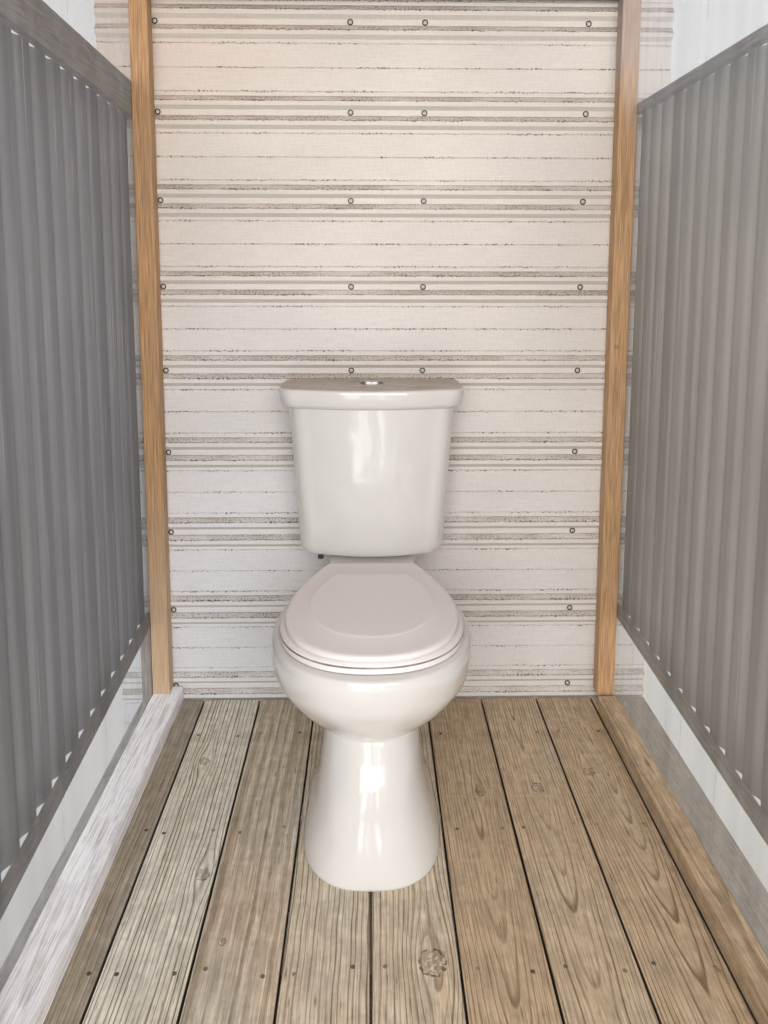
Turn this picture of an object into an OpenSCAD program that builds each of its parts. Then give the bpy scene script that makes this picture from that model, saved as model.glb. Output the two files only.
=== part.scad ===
/* [Stall] */
// Clear width between the inner faces of the corner posts
clear_w = 1082; // [900:1:1300]
// Depth of the deck from the front edge to the back siding
deck_d = 1830; // [1500:1:2200]
// Height of the deck surface above the ground
deck_h = 340; // [320:1:450]
// Height of the back posts' tops above the deck
back_post_h = 1722; // [1700:1:1900]
// Distance from the back siding to the middle of the middle posts
mid_post_y = 957; // [850:1:1000]

/* [Posts and plates] */
// Width of an inner post, across the stall
post_w = 43; // [36:1:60]
// Depth of an inner post, front to back
post_d = 38; // [30:1:50]
// Width of the blocks under the ends of the left bottom rail
block_w = 26; // [20:1:40]
// Thickness of framing lumber
lumber_t = 38; // [30:1:45]
// Width of framing lumber on edge
lumber_w = 89; // [75:1:100]
// Width of the left floor plate
plate_w = 68; // [60:1:89]
// Width of the right floor batten
batten_w = 48; // [40:1:60]
// Gap between the back siding and the end of the right floor batten
batten_back_gap = 60; // [45:1:100]
// Height of the right back post's foot above the deck
right_foot_gap = 25; // [5:1:40]

/* [Deck] */
// Width of a deck board
board_w = 139; // [120:1:150]
// Gap between deck boards
board_gap = 3.5; // [2:0.5:8]
// Thickness of a deck board
board_t = 25; // [22:1:38]
// Offset of the middle board gap from the centre of the stall
board_shift = -35; // [-60:1:60]
// Depth of a joist or rim beam
joist_w = 140; // [120:1:160]
// Distance from one joist to the next
joist_pitch = 312.5; // [280:0.5:420]
// Distance from the back siding to the first joist's middle
joist_first = 152; // [90:1:200]
// Side of a square leg
leg_w = 89; // [75:1:100]

/* [Side walls] */
// Thickness of the insect screen
screen_t = 1; // [0.6:0.1:2]
// Heights of the left and the right bottom rail's top edge above the deck, at the back siding
bottom_rail_z = [236, 252]; // [200:1:280]
// Falls of the left and the right bottom rail towards the front, on each metre
bottom_rail_fall = [92, 31]; // [0:1:100]
// Height of a bottom rail itself
bottom_rail_w = 20; // [18:1:40]
// Heights of the left and the right top rail's lower edge above the deck, at the back siding
top_rail_z = [1454, 1466]; // [1300:1:1500]
// Rises of the left and the right top rail towards the front, on each metre
top_rail_rise = [40, 0]; // [0:1:60]
// Heights of the left and the right top rail themselves
top_rail_w = [75, 20]; // [18:1:100]
// Thickness of the rails
rail_t = 19; // [16:1:25]
// Pitch of the ribs in the corrugated sheets
rib_pitch = 64; // [60:1:76]
// Distance from the back siding to the side sheets' first outward rib
rib_start = 47; // [32:1:64]
// Depth of the ribs in the corrugated sheets
rib_depth = 16; // [12:1:22]
// Thickness of a corrugated sheet
sheet_t = 1.2; // [0.8:0.1:2]
// Lap of the side sheets below the bottom rails' top edges
low_lap = 14; // [8:1:18]
// Lap of the side sheets above the top rails' lower edges
high_lap = 7; // [5:1:15]

/* [Back wall] */
// Thickness of the siding's metal
siding_metal = 1.2; // [0.8:0.1:2]
// Distance from one pair of ribs in the siding to the next
band_pitch = 204.9; // [180:0.1:230]
// Height above the deck where the lowest pair of ribs starts
band_z = 72.8; // [40:0.1:100]
// Depth of the siding's ribs
band_d = 8; // [6:0.5:10]
// Height of a rib's upper slope, which catches the dirt
ledge_h = 11.8; // [8:0.2:14]
// Height of a rib's flat crest
crest_h = 11; // [8:0.5:14]
// Height of a rib's underside
under_h = 9; // [6:0.5:12]
// Distance from the first rib of a pair to the second
rib_step = 45; // [40:1:60]
// Depth of the fine lines between the pairs
line_d = 1.2; // [0.8:0.1:2]
// Height of a fine line
line_h = 4; // [3:0.5:6]
// Height of the grey board above the ground
skirt_z = 62; // [50:1:90]
// Width of the grey board
skirt_w = 61; // [50:1:80]
// Places of the inner studs behind the siding, across the stall
stud_x = [-83, 92, 476]; // [-500:1:500]

/* [Roof] */
// Slope of the roof, falling to the back
roof_slope = 8; // [5:0.5:12]
// Overhang of the roof past the deck, front and back
roof_over = 160; // [120:1:250]
// Overhang of the roof past the outer edge of the right sill
roof_side = 60; // [40:1:120]
// Depth of the seat cut in a rafter
seat_cut = 12; // [8:1:18]
// Thickness of the roof boarding
boarding_t = 12; // [9:1:18]

/* [Toilet] */
// Offset of the toilet from the centre of the stall
toilet_x = -33; // [-80:1:80]
// Height of the bowl's rim above the deck
rim_h = 419; // [380:1:430]
// Distance from the back siding to the front of the bowl
bowl_front = 662; // [640:1:730]
// Width of the bowl at its widest
bowl_w = 384; // [350:1:400]
// Width of the foot
foot_w = 268; // [220:1:280]
// Distance from the back siding to the front of the foot
foot_front = 624; // [580:1:640]
// Width of the tank under its lid
tank_w = 366; // [320:1:400]
// Width of the tank at its bottom
tank_base_w = 334; // [290:1:350]
// Height of the tank's bottom above the rim
tank_lift = 29; // [20:1:40]
// Height of the tank without its lid
tank_h = 345; // [300:1:380]
// Distance from the back siding to the back of the tank
tank_gap = 18; // [15:1:40]
// Depth of the tank, without the bow of its front
tank_depth = 148; // [140:1:160]
// Bow of the tank's front
tank_bow = 22; // [15:1:26]
// Width of the tank's lid
tank_lid_w = 420; // [390:1:440]
// Thickness of the tank's lid
tank_lid_t = 45; // [30:1:50]
// Width of the oval flush button
button_w = 56; // [45:1:70]
// Depth of the oval flush button
button_depth = 36; // [28:1:44]
// Width of the seat ring
seat_w = 349; // [330:1:360]
// Width of the seat's lid
lid_w = 331; // [320:1:350]
// Width of the lid's straight back edge
lid_back_w = 196; // [180:1:220]
// Width of the seat ring's rim
seat_rim_w = 62; // [50:1:70]
// Thickness of the seat ring
seat_t = 20; // [16:1:22]
// Thickness of the seat's lid
lid_t = 14; // [12:1:18]
// Distance from the back siding to the seat's hinge
hinge_y = 230; // [228:1:250]
// Radius of the hinge pin
pin_r = 4; // [3:0.5:5]

/* [Hidden] */
$fn = 48;

// Gap between the closed lid and the seat
lid_gap = 0.6;
// Height of the shelf under the tank above the rim
shelf_lift = 22;
// Half the distance between the seat's two hinges
hinge_x = 70;
// Height of the hinge pins above the rim
hinge_lift = 20;
// Width of the lid's knuckle and its clearance round the pin
knuckle_w = 26;
pin_gap = 0.1;
// Radius and width of the posts that hold a hinge pin
hinge_post_r = 6;
hinge_post_w = 8;
// Clearance between a hinge post and the lid
post_gap = 1;
// Reach of the lid behind its hinge, and of the seat's gap in front of it
lid_back = 14;
seat_back = 12;
// Distances from the back siding to the widest place of the ring and of the lid
seat_widest = 465;
lid_widest = 455;
// Distances that the ring and the lid stop short of the bowl's front
seat_short = 21;
lid_short = 24;
// Half the width of the ring's straight back edge
seat_back_half = 110;
// Height of the flush button's rim, and the gap between its two halves
button_rim_h = 3;
button_split = 1.5;
// Clearance under parts that lie on a slope
slope_gap = 0.2;
// Distance that the boarding and the fascias stop short of the roof sheet's sides
roof_trim = 20;
// Height of the siding's lower edge above the ground
siding_low = 8;

post_in = clear_w / 2;
post_out = post_in + post_w;
screen_in = post_out;
screen_out = screen_in + screen_t;
rail_out = screen_out + rail_t;
wall_y = deck_d / 2;
front_y = -deck_d / 2;
siding_t = band_d + line_d + siding_metal;
slope = tan(roof_slope);
back_header_z = deck_h + back_post_h;
back_header_top = back_header_z + lumber_w;
front_header_top = back_header_top + slope * (deck_d - lumber_t);
front_header_z = front_header_top - lumber_w;
sill_out = screen_out + lumber_w;
roof_half_w = sill_out + roof_side;
roof_end = wall_y + roof_over;
rim_z = deck_h + rim_h;
seat_z = rim_z;
lid_z = seat_z + seat_t + lid_gap;
hinge_z = rim_z + hinge_lift;
tank_z = rim_z + tank_lift;
tank_top = tank_z + tank_h;
wood = "burlywood";
old_wood = "tan";

// Underside of the rafters at a distance y from the stall's middle
function rafter_z(y) = back_header_top - seat_cut + slope * (wall_y - y);

// Top edge of a bottom rail and lower edge of a top rail at y, on side 0, the left, or side 1, the right
function bottom_rail_top(side, y) =
    deck_h + bottom_rail_z[side] - bottom_rail_fall[side] * (wall_y - y) / 1000;
function top_rail_low(side, y) =
    deck_h + top_rail_z[side] + top_rail_rise[side] * (wall_y - y) / 1000;

// Box from its low corner to its high corner
module span(low, high) {
    translate(low)
        cube(high - low);
}

// Two mirrored copies about the stall's middle plane
module both_sides() {
    children();
    mirror([1, 0, 0])
        children();
}

module legs() {
    color(old_wood)
        both_sides()
            for (y = [front_y, wall_y - joist_first - 2 * joist_pitch - leg_w / 2, wall_y - rail_t - leg_w])
                span([screen_out - leg_w, y, 0], [screen_out, y + leg_w, deck_h - board_t - joist_w]);
}

module left_rim_beam() {
    color(old_wood)
        span([-screen_out - lumber_t, front_y, deck_h - joist_w], [-screen_out, wall_y, deck_h]);
}

module right_rim_beam() {
    color(old_wood)
        span([screen_out, front_y, deck_h - lumber_t - joist_w],
             [screen_out + lumber_t, wall_y, deck_h - lumber_t]);
}

module right_sill() {
    color(old_wood)
        span([screen_out, front_y, deck_h - lumber_t], [sill_out, wall_y, deck_h]);
}

// Joist whose middle lies at y
module joist(y) {
    span([-screen_out, y - lumber_t / 2, deck_h - board_t - joist_w],
         [screen_out, y + lumber_t / 2, deck_h - board_t]);
}

module joists() {
    last = floor((deck_d - joist_first - 2 * lumber_t) / joist_pitch);
    color(old_wood) {
        joist(wall_y - lumber_t / 2);
        for (i = [0:last])
            joist(wall_y - joist_first - i * joist_pitch);
        joist(front_y + lumber_t / 2);
    }
}

module deck_boards() {
    pitch = board_w + board_gap;
    first = floor((-screen_in - board_shift) / pitch);
    last = floor((screen_in - board_shift) / pitch);
    color(old_wood)
        for (i = [first:last]) {
            left = max(board_shift + i * pitch + board_gap / 2, -screen_in);
            right = min(board_shift + (i + 1) * pitch - board_gap / 2, screen_in);
            span([left, front_y, deck_h - board_t], [right, wall_y, deck_h]);
        }
}

module left_floor_plate() {
    color(old_wood)
        span([-screen_in, front_y, deck_h], [plate_w - screen_in, wall_y, deck_h + lumber_t]);
}

module right_floor_batten() {
    color(wood)
        span([screen_in - batten_w, front_y, deck_h],
             [screen_in, wall_y - batten_back_gap, deck_h + lumber_t]);
}

// Inner post whose back face lies at y, from foot up to the rafters or to a given top
module inner_post(side, y, foot, top) {
    x = side > 0 ? post_in : -post_out;
    color(wood)
        span([x, y - post_d, foot], [x + post_w, y, top]);
}

// Inner post cut to the slope of the rafter that it carries
module mid_post(side) {
    x = side > 0 ? post_in : -post_out;
    y = wall_y - mid_post_y;
    color(wood)
        translate([x, 0, 0])
            rotate([90, 0, 90])
                linear_extrude(post_w)
                    polygon([
                        [y - post_d / 2, deck_h + lumber_t],
                        [y + post_d / 2, deck_h + lumber_t],
                        [y + post_d / 2, rafter_z(y + post_d / 2) - slope_gap],
                        [y - post_d / 2, rafter_z(y - post_d / 2) - slope_gap]
                    ]);
}

module left_back_post() inner_post(-1, wall_y, deck_h + lumber_t, back_header_z);
module right_back_post() inner_post(1, wall_y, deck_h + right_foot_gap, back_header_z);
module left_mid_post() mid_post(-1);
module right_mid_post() mid_post(1);
module left_front_post() inner_post(-1, front_y + post_d, deck_h + lumber_t, front_header_z);
module right_front_post() inner_post(1, front_y + post_d, deck_h + lumber_t, front_header_z);

// Slab on the outside of the posts, from the front to the siding. Its lower and its upper line are
// given by their heights at the front and at the siding.
module side_slab(side, inner, thick, low, high) {
    translate([side == 0 ? -inner - thick : inner, 0, 0])
        rotate([90, 0, 90])
            linear_extrude(thick)
                polygon([
                    [front_y, low[0]],
                    [wall_y, low[1]],
                    [wall_y, high[1]],
                    [front_y, high[0]]
                ]);
}

// Insect screen from the deck to the rafter, one flat sheet outside the inner posts
module screen(side) {
    color("dimgray", 0.5)
        side_slab(side, screen_in, screen_t, [deck_h, deck_h], [rafter_z(front_y), rafter_z(wall_y)]);
}

module left_screen() screen(0);
module right_screen() screen(1);

module bottom_rail(side) {
    high = [bottom_rail_top(side, front_y), bottom_rail_top(side, wall_y)];
    color(old_wood)
        side_slab(side, screen_out, rail_t, [for (z = high) z - bottom_rail_w], high);
}

module top_rail(side) {
    low = [top_rail_low(side, front_y), top_rail_low(side, wall_y)];
    color(old_wood)
        side_slab(side, screen_out, rail_t, low, [for (z = low) z + top_rail_w[side]]);
}

module left_bottom_rail() bottom_rail(0);
module right_bottom_rail() bottom_rail(1);
module left_top_rail() top_rail(0);
module right_top_rail() top_rail(1);

// Short blocks that stand on the left rim beam and carry the ends of the bottom rail
module left_rail_blocks() {
    color(wood)
        for (y = [front_y, wall_y - post_d])
            span([-screen_out - block_w, y, deck_h],
                 [-screen_out, y + post_d, bottom_rail_top(0, y) - bottom_rail_w]);
}

// Straight pieces that draw one rib of a corrugated sheet
RIB_STEPS = 10;

// Wave of a corrugated sheet, as a closed outline of the given length, with a trough at the place given
function wave(s) = rib_depth / 2 * (1 - cos(360 * s / rib_pitch));
function wave_outline(length, trough) =
    let (n = ceil(length / rib_pitch * RIB_STEPS),
         low = [for (i = [0:n]) let (s = i * length / n) [s, wave(s - trough)]],
         high = [for (i = [n:-1:0]) low[i] + [0, sheet_t]])
    concat(low, high);

// Corrugated sheet that hangs on the outside of a side's two rails and follows their lines
module side_sheet(side) {
    low = [for (y = [front_y, wall_y]) bottom_rail_top(side, y) - low_lap];
    high = [for (y = [front_y, wall_y]) top_rail_low(side, y) + high_lap];
    color("slategray")
        intersection() {
            mirror([1 - side, 0, 0])
                translate([rail_out, front_y, min(low) - 1])
                    mirror([1, -1, 0])
                        linear_extrude(max(high) - min(low) + 2)
                            polygon(wave_outline(deck_d, deck_d - rib_start + rib_pitch / 2));
            side_slab(side, rail_out - 1, rib_depth + sheet_t + 2, low, high);
        }
}

module left_side_sheet() side_sheet(0);
module right_side_sheet() side_sheet(1);

// Rib of the siding from its lower end up: underside, crest and the slope above it
function siding_rib(top) = [
    [band_d, top - ledge_h - crest_h - under_h],
    [0, top - ledge_h - crest_h],
    [0, top - ledge_h],
    [band_d, top]
];

// Fine line pressed into the siding's flats
function siding_line(z) = [
    [band_d, z - line_h / 2],
    [band_d + line_d, z],
    [band_d, z + line_h / 2]
];

// Front face of the siding, as depths and heights: pairs of ribs, and three fine lines below each pair
function siding_face(low, high) =
    let (first = floor((low - deck_h - band_z) / band_pitch),
         last = ceil((high - deck_h - band_z) / band_pitch),
         lines = band_pitch - rib_step - ledge_h - crest_h - under_h)
    [for (i = [first:last])
        let (top = deck_h + band_z + i * band_pitch,
             next = top - band_pitch)
        each [
            for (share = [0.92, 0.5, 0.07])
                each siding_line(next + lines * (1 - share)),
            each siding_rib(top - rib_step),
            each siding_rib(top)
        ]
    ];

module back_siding() {
    high = rafter_z(wall_y + siding_t);
    face = [for (p = siding_face(siding_low, high)) if (p[1] > siding_low + 1 && p[1] < high - 1) p];
    ends = [[face[0][0], siding_low], [face[len(face) - 1][0], high]];
    front = concat([ends[0]], face, [ends[1]]);
    back = [for (i = [len(front) - 1:-1:0]) front[i] + [siding_metal, 0]];
    color("whitesmoke")
        translate([-sill_out, wall_y, 0])
            rotate([90, 0, 90])
                linear_extrude(2 * sill_out)
                    polygon(concat(front, back));
}

// Upright stud behind the siding, whose middle lies at x
module wall_stud(x) {
    back = wall_y + siding_t;
    top = rafter_z(back + lumber_t) - 1;
    span([x - lumber_w / 2, back, 0], [x + lumber_w / 2, back + lumber_t, top]);
}

module wall_studs() {
    end = sill_out - lumber_w / 2;
    color(old_wood)
        for (x = concat([-end], stud_x, [end]))
            wall_stud(x);
}

module skirt_board() {
    color("gray")
        span([-sill_out, wall_y - rail_t, skirt_z], [sill_out, wall_y, skirt_z + skirt_w]);
}

module back_header() {
    color(old_wood)
        span([-post_out, wall_y - lumber_t, back_header_z], [post_out, wall_y, back_header_top]);
}

module front_header() {
    color(wood)
        span([-post_out, front_y, front_header_z], [post_out, front_y + lumber_t, front_header_top]);
}

module rafters() {
    color(wood)
        difference() {
            for (x = [-post_out, -lumber_t / 2, post_out - lumber_t])
                translate([x, 0, 0])
                    rotate([90, 0, 90])
                        linear_extrude(lumber_t)
                            polygon([
                                [-roof_end + rail_t, rafter_z(-roof_end + rail_t)],
                                [roof_end - rail_t, rafter_z(roof_end - rail_t)],
                                [roof_end - rail_t, rafter_z(roof_end - rail_t) + lumber_w],
                                [-roof_end + rail_t, rafter_z(-roof_end + rail_t) + lumber_w]
                            ]);
            span([-post_out - 1, wall_y - lumber_t, back_header_z], [post_out + 1, wall_y, back_header_top]);
            span([-post_out - 1, front_y, front_header_z],
                 [post_out + 1, front_y + lumber_t, front_header_top]);
        }
}

// Flat slab that follows the slope, a height above the rafters' underside, with plumb ends
module slope_slab(half_w, lift, thick, end) {
    translate([-half_w, 0, 0])
        rotate([90, 0, 90])
            linear_extrude(2 * half_w)
                polygon([
                    [-end, rafter_z(-end) + lift],
                    [end, rafter_z(end) + lift],
                    [end, rafter_z(end) + lift + thick],
                    [-end, rafter_z(-end) + lift + thick]
                ]);
}

module roof_boarding() {
    color("peru")
        slope_slab(roof_half_w - roof_trim, lumber_w, boarding_t, roof_end - rail_t);
}

module roof_sheet() {
    ribs = floor(2 * roof_half_w / rib_pitch);
    width = ribs * rib_pitch;
    lift = lumber_w + boarding_t + slope_gap;
    color("slategray")
        translate([-width / 2, roof_end, rafter_z(roof_end) + lift])
            rotate([90 - roof_slope, 0, 0])
                linear_extrude(2 * roof_end / cos(roof_slope))
                    polygon(wave_outline(width, 0));
}

module fascia(y) {
    half = roof_half_w - roof_trim;
    low = rafter_z(y + rail_t);
    color(old_wood)
        span([-half, y, low], [half, y + rail_t, low + lumber_w]);
}

module front_fascia() fascia(-roof_end);
module back_fascia() fascia(roof_end - rail_t);

// Closed solid through a list of rings, each with the same number of points
module loft(rings) {
    n = len(rings[0]);
    m = len(rings);
    points = [for (ring = rings) each ring];
    sides = [for (j = [0:m - 2], i = [0:n - 1])
        let (k = (i + 1) % n)
        each [[j * n + i, j * n + k, j * n + n + k], [j * n + i, j * n + n + k, j * n + n + i]]];
    low = [for (i = [n - 1:-1:0]) i];
    high = [for (i = [0:n - 1]) (m - 1) * n + i];
    polyhedron(points, concat(sides, [low, high]), convexity = 6);
}

// Points round an egg-shaped ring
RING_STEPS = 40;

// Egg-shaped ring at height z, from back to front, measured from the siding, with blunt corners as wanted
function egg(z, back, front, half_w, blunt = 2, widest = 0.5) =
    let (mid = back + (front - back) * widest)
    [for (i = [0:RING_STEPS - 1])
        let (a = -360 * i / RING_STEPS,
             c = cos(a),
             s = sin(a),
             power = 2 / blunt,
             reach = s > 0 ? mid - back : front - mid)
        [toilet_x + half_w * sign(c) * pow(abs(c), power),
         wall_y - mid + reach * sign(s) * pow(abs(s), power),
         z]];

module toilet_bowl() {
    base = deck_h;
    foot_back = 200;
    neck_back = 230;
    wall = 24;
    color("white")
        difference() {
            union() {
                loft([
                    egg(base, foot_back, foot_front - 4, foot_w / 2 - 3, 2.6, 0.6),
                    egg(base + 12, foot_back, foot_front, foot_w / 2, 2.6, 0.6),
                    egg(base + 30, foot_back, foot_front - 4, foot_w / 2 - 3, 2.6, 0.6),
                    egg(base + 90, foot_back, foot_front - 24, foot_w / 2 - 22, 2.5, 0.6),
                    egg(base + 150, foot_back, foot_front - 42, foot_w / 2 - 34, 2.4, 0.6),
                    egg(base + 200, neck_back, foot_front - 54, foot_w / 2 - 40, 2.3, 0.6),
                    egg(base + 232, neck_back - 10, foot_front - 58, foot_w / 2 - 36, 2.2, 0.58),
                    egg(base + 265, neck_back - 20, foot_front - 26, foot_w / 2 - 4, 2.1, 0.57),
                    egg(base + 300, neck_back - 30, bowl_front - 38, bowl_w / 2 - 32, 2.1, 0.56),
                    egg(base + 340, neck_back - 30, bowl_front - 14, bowl_w / 2 - 9, 2.1, 0.56),
                    egg(base + 375, neck_back - 30, bowl_front - 3, bowl_w / 2 - 1, 2.1, 0.56),
                    egg(rim_z - 22, neck_back - 30, bowl_front, bowl_w / 2, 2.1, 0.56),
                    egg(rim_z - 6, neck_back - 30, bowl_front - 3, bowl_w / 2 - 3, 2.1, 0.56),
                    egg(rim_z, neck_back - 28, bowl_front - 10, bowl_w / 2 - 10, 2.1, 0.56)
                ]);
                loft([
                    egg(base + 240, 130, 330, 60, 3, 0.5),
                    egg(base + 320, 70, 340, 88, 3.5, 0.5),
                    egg(rim_z - 40, 45, 345, 99, 4, 0.5),
                    egg(rim_z - 6, 42, 345, 103, 4, 0.5),
                    egg(rim_z, 46, 345, 100, 4, 0.5)
                ]);
                loft([
                    egg(rim_z - 8, 46, 206, 99, 4, 0.5),
                    egg(rim_z + shelf_lift - 5, 48, 204, 98, 4, 0.5),
                    egg(rim_z + shelf_lift, 52, 200, 94, 4, 0.5)
                ]);
            }
            loft([
                egg(base + 210, 395, 490, 38, 2, 0.5),
                egg(base + 250, 370, 530, 64, 2, 0.5),
                egg(base + 310, 330, 590, 106, 2, 0.52),
                egg(base + 370, 305, bowl_front - wall - 24, bowl_w / 2 - wall - 24, 2, 0.54),
                egg(rim_z - 30, 300, bowl_front - wall - 20, bowl_w / 2 - wall - 20, 2, 0.54),
                egg(rim_z + 2, 296, bowl_front - wall - 26, bowl_w / 2 - wall - 26, 2, 0.54)
            ]);
        }
}

// Points along a quarter of the seat's outline
SEAT_STEPS = 12;
// Bluntness of the seat's front: 1 is an ellipse
NOSE_POWER = 0.89;

// Outline of the seat or its lid, inset by a margin: straight across the back, wider towards the
// widest place, then rounded to the front. Places are [across, distance from the siding].
function seat_outline(margin, back, widest, front, half_w, back_half_w) =
    let (start = back + margin,
         side = [for (i = [0:SEAT_STEPS])
             let (t = i / SEAT_STEPS)
             [back_half_w + (half_w - back_half_w) * sin(90 * t) - margin, start + (widest - start) * t]],
         nose = [for (i = [1:SEAT_STEPS])
             let (a = 90 * i / SEAT_STEPS)
             [(half_w - margin) * pow(cos(a), NOSE_POWER),
              widest + (front - margin - widest) * pow(sin(a), NOSE_POWER)]],
         right = concat(side, nose))
    concat(right, [for (i = [len(right) - 2:-1:0]) [-right[i][0], right[i][1]]]);

// Ring of the lid at a height above its underside
function lid_ring(z, margin) =
    let (back = hinge_y - lid_back,
         front = bowl_front - lid_short,
         outline = seat_outline(margin, back, lid_widest, front, lid_w / 2, lid_back_w / 2))
    [for (p = outline) [toilet_x + p[0], wall_y - p[1], lid_z + z]];

module seat_ring() {
    back = hinge_y + seat_back;
    front = bowl_front - seat_short;
    half = seat_w / 2;
    outer = seat_outline(0, back, seat_widest, front, half, seat_back_half);
    inner = seat_outline(seat_rim_w, back, seat_widest - 20, front, half, seat_back_half + 10);
    color("white")
        translate([toilet_x, wall_y, seat_z])
            mirror([0, 1, 0])
                linear_extrude(seat_t)
                    difference() {
                        polygon(outer);
                        polygon(inner);
                    }
}

module seat_lid() {
    color("white") {
        difference() {
            loft([
                lid_ring(0, 3),
                lid_ring(3, 0),
                lid_ring(lid_t - 6, 0),
                lid_ring(lid_t - 3, 3),
                lid_ring(lid_t - 2, 8),
                lid_ring(lid_t - 2, 30),
                lid_ring(lid_t, 34)
            ]);
            for (side = [-1, 1]) {
                across_x(side * hinge_x, pin_r + pin_gap, knuckle_w + 2);
                for (end = [-1, 1])
                    lid_pocket(side * hinge_x + end * (knuckle_w / 2 + 5));
            }
        }
        lid_knuckles();
    }
}

// Pocket under the lid's back edge that clears a hinge post in each position of the lid
module lid_pocket(x) {
    half = hinge_post_w / 2 + post_gap;
    reach = hinge_post_r + post_gap;
    y = wall_y - hinge_y;
    span([toilet_x + x - half, y - reach, hinge_z - 1],
         [toilet_x + x + half, y + lid_back + 1, hinge_z + reach]);
}

// Pin of a seat hinge, or its bore, along X at a distance x from the toilet's middle
module across_x(x, r, length) {
    translate([toilet_x + x - length / 2, wall_y - hinge_y, hinge_z])
        rotate([0, 90, 0])
            cylinder(r = r, h = length);
}

module lid_knuckles() {
    for (side = [-1, 1])
        difference() {
            union() {
                across_x(side * hinge_x, pin_r + 3, knuckle_w);
                span([toilet_x + side * hinge_x - knuckle_w / 2, wall_y - hinge_y - 7, hinge_z],
                     [toilet_x + side * hinge_x + knuckle_w / 2, wall_y - hinge_y + 5, lid_z + 2]);
            }
            across_x(side * hinge_x, pin_r + pin_gap, knuckle_w + 2);
        }
}

module seat_hinges() {
    color("white")
        for (side = [-1, 1]) {
            across_x(side * hinge_x, pin_r, knuckle_w + 10);
            for (end = [-1, 1]) {
                x = side * hinge_x + end * (knuckle_w / 2 + 5);
                across_x(x, hinge_post_r, hinge_post_w);
                span([toilet_x + x - hinge_post_w / 2, wall_y - hinge_y - hinge_post_r, rim_z],
                     [toilet_x + x + hinge_post_w / 2, wall_y - hinge_y + hinge_post_r, hinge_z]);
            }
        }
}

// Half outline of the tank: square back corners, bowed front
function tank_ring(z, back, width, depth, bow, corner) =
    let (w = width / 2 - corner,
         low = back + corner,
         high = back + depth - corner,
         n = 5,
         turn = 90 / n)
    concat(
        [for (i = [0:n]) [w + corner * sin(i * turn), low - corner * cos(i * turn)]],
        [for (i = [0:n]) [w + corner * cos(i * turn), high + corner * sin(i * turn)]],
        [for (i = [1:11]) let (t = 1 - i / 6) [w * t, high + corner + bow * (1 - t * t)]],
        [for (i = [0:n]) [-w - corner * sin(i * turn), high + corner * cos(i * turn)]],
        [for (i = [0:n]) [-w - corner * cos(i * turn), low - corner * sin(i * turn)]]
    );

function tank_points(z, back, width, depth, bow, corner) =
    [for (p = tank_ring(z, back, width, depth, bow, corner)) [toilet_x + p[0], wall_y - p[1], z]];

module toilet_tank() {
    wall = 12;
    back = tank_gap + wall;
    color("white")
        difference() {
            loft([
                tank_points(tank_z, tank_gap + 8, tank_base_w - 26, tank_depth - 16, tank_bow - 6, 40),
                tank_points(tank_z + 6, tank_gap + 3, tank_base_w - 8, tank_depth - 6, tank_bow - 2, 44),
                tank_points(tank_z + 20, tank_gap, tank_base_w, tank_depth, tank_bow, 46),
                tank_points(tank_top, tank_gap, tank_w, tank_depth + 8, tank_bow, 46)
            ]);
            loft([
                tank_points(tank_z + 30, back, tank_base_w - 2 * wall, tank_depth - 2 * wall, tank_bow, 34),
                tank_points(tank_top + 1, back, tank_w - 2 * wall, tank_depth + 8 - 2 * wall, tank_bow, 34)
            ]);
        }
}

module tank_lid() {
    over = (tank_lid_w - tank_w) / 2;
    back = tank_gap - 8;
    depth = tank_depth + 8 + 8 + over / 2;
    color("white")
        loft([
            tank_points(tank_top, back, tank_lid_w - 36, depth - 10, tank_bow, 40),
            tank_points(tank_top + 5, back, tank_lid_w - 16, depth - 5, tank_bow, 42),
            tank_points(tank_top + 11, back, tank_lid_w - 8, depth - 2, tank_bow, 43),
            tank_points(tank_top + tank_lid_t - 12, back, tank_lid_w, depth, tank_bow, 44),
            tank_points(tank_top + tank_lid_t - 3, back + 2, tank_lid_w - 4, depth - 4, tank_bow, 42),
            tank_points(tank_top + tank_lid_t, back + 8, tank_lid_w - 16, depth - 16, tank_bow, 36)
        ]);
}

// Flat rounded bar along X about the button's middle
module button_bar(width, depth, low, high) {
    r = depth / 2;
    translate([0, 0, low])
        linear_extrude(high - low) {
            for (side = [-1, 1])
                translate([side * (width / 2 - r), 0])
                    circle(r);
            square([width - depth, depth], center = true);
        }
}

// Oval dual button: a rim and two halves with a gap between them
module flush_button() {
    color("silver")
        translate([toilet_x, wall_y - tank_gap - tank_depth / 2, tank_top + tank_lid_t]) {
            button_bar(button_w, button_depth, 0, button_rim_h);
            difference() {
                button_bar(button_w - 6, button_depth - 6, button_rim_h, button_rim_h + 2);
                translate([-button_split / 2, -button_depth / 2, button_rim_h])
                    cube([button_split, button_depth, 3]);
            }
        }
}

// Rubber ring between the tank and the bowl's shelf, with the washers of the two tank bolts
module tank_gasket() {
    y = wall_y - tank_gap - tank_depth / 2 - 10;
    z = rim_z + shelf_lift;
    color("dimgray") {
        translate([toilet_x, y, z])
            cylinder(r = 40, h = tank_z - z);
        for (side = [-1, 1])
            translate([toilet_x + side * 72, y, z])
                cylinder(r = 11, h = tank_z - z);
    }
}

module fill_inlet() {
    x = toilet_x - tank_base_w / 2 + 45;
    y = wall_y - tank_gap - tank_depth / 2;
    color("silver")
        translate([x, y, tank_z - 34])
            union() {
                cylinder(r = 7, h = 34);
                translate([0, 0, 20])
                    cylinder(r = 14, h = 14);
            }
}

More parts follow.
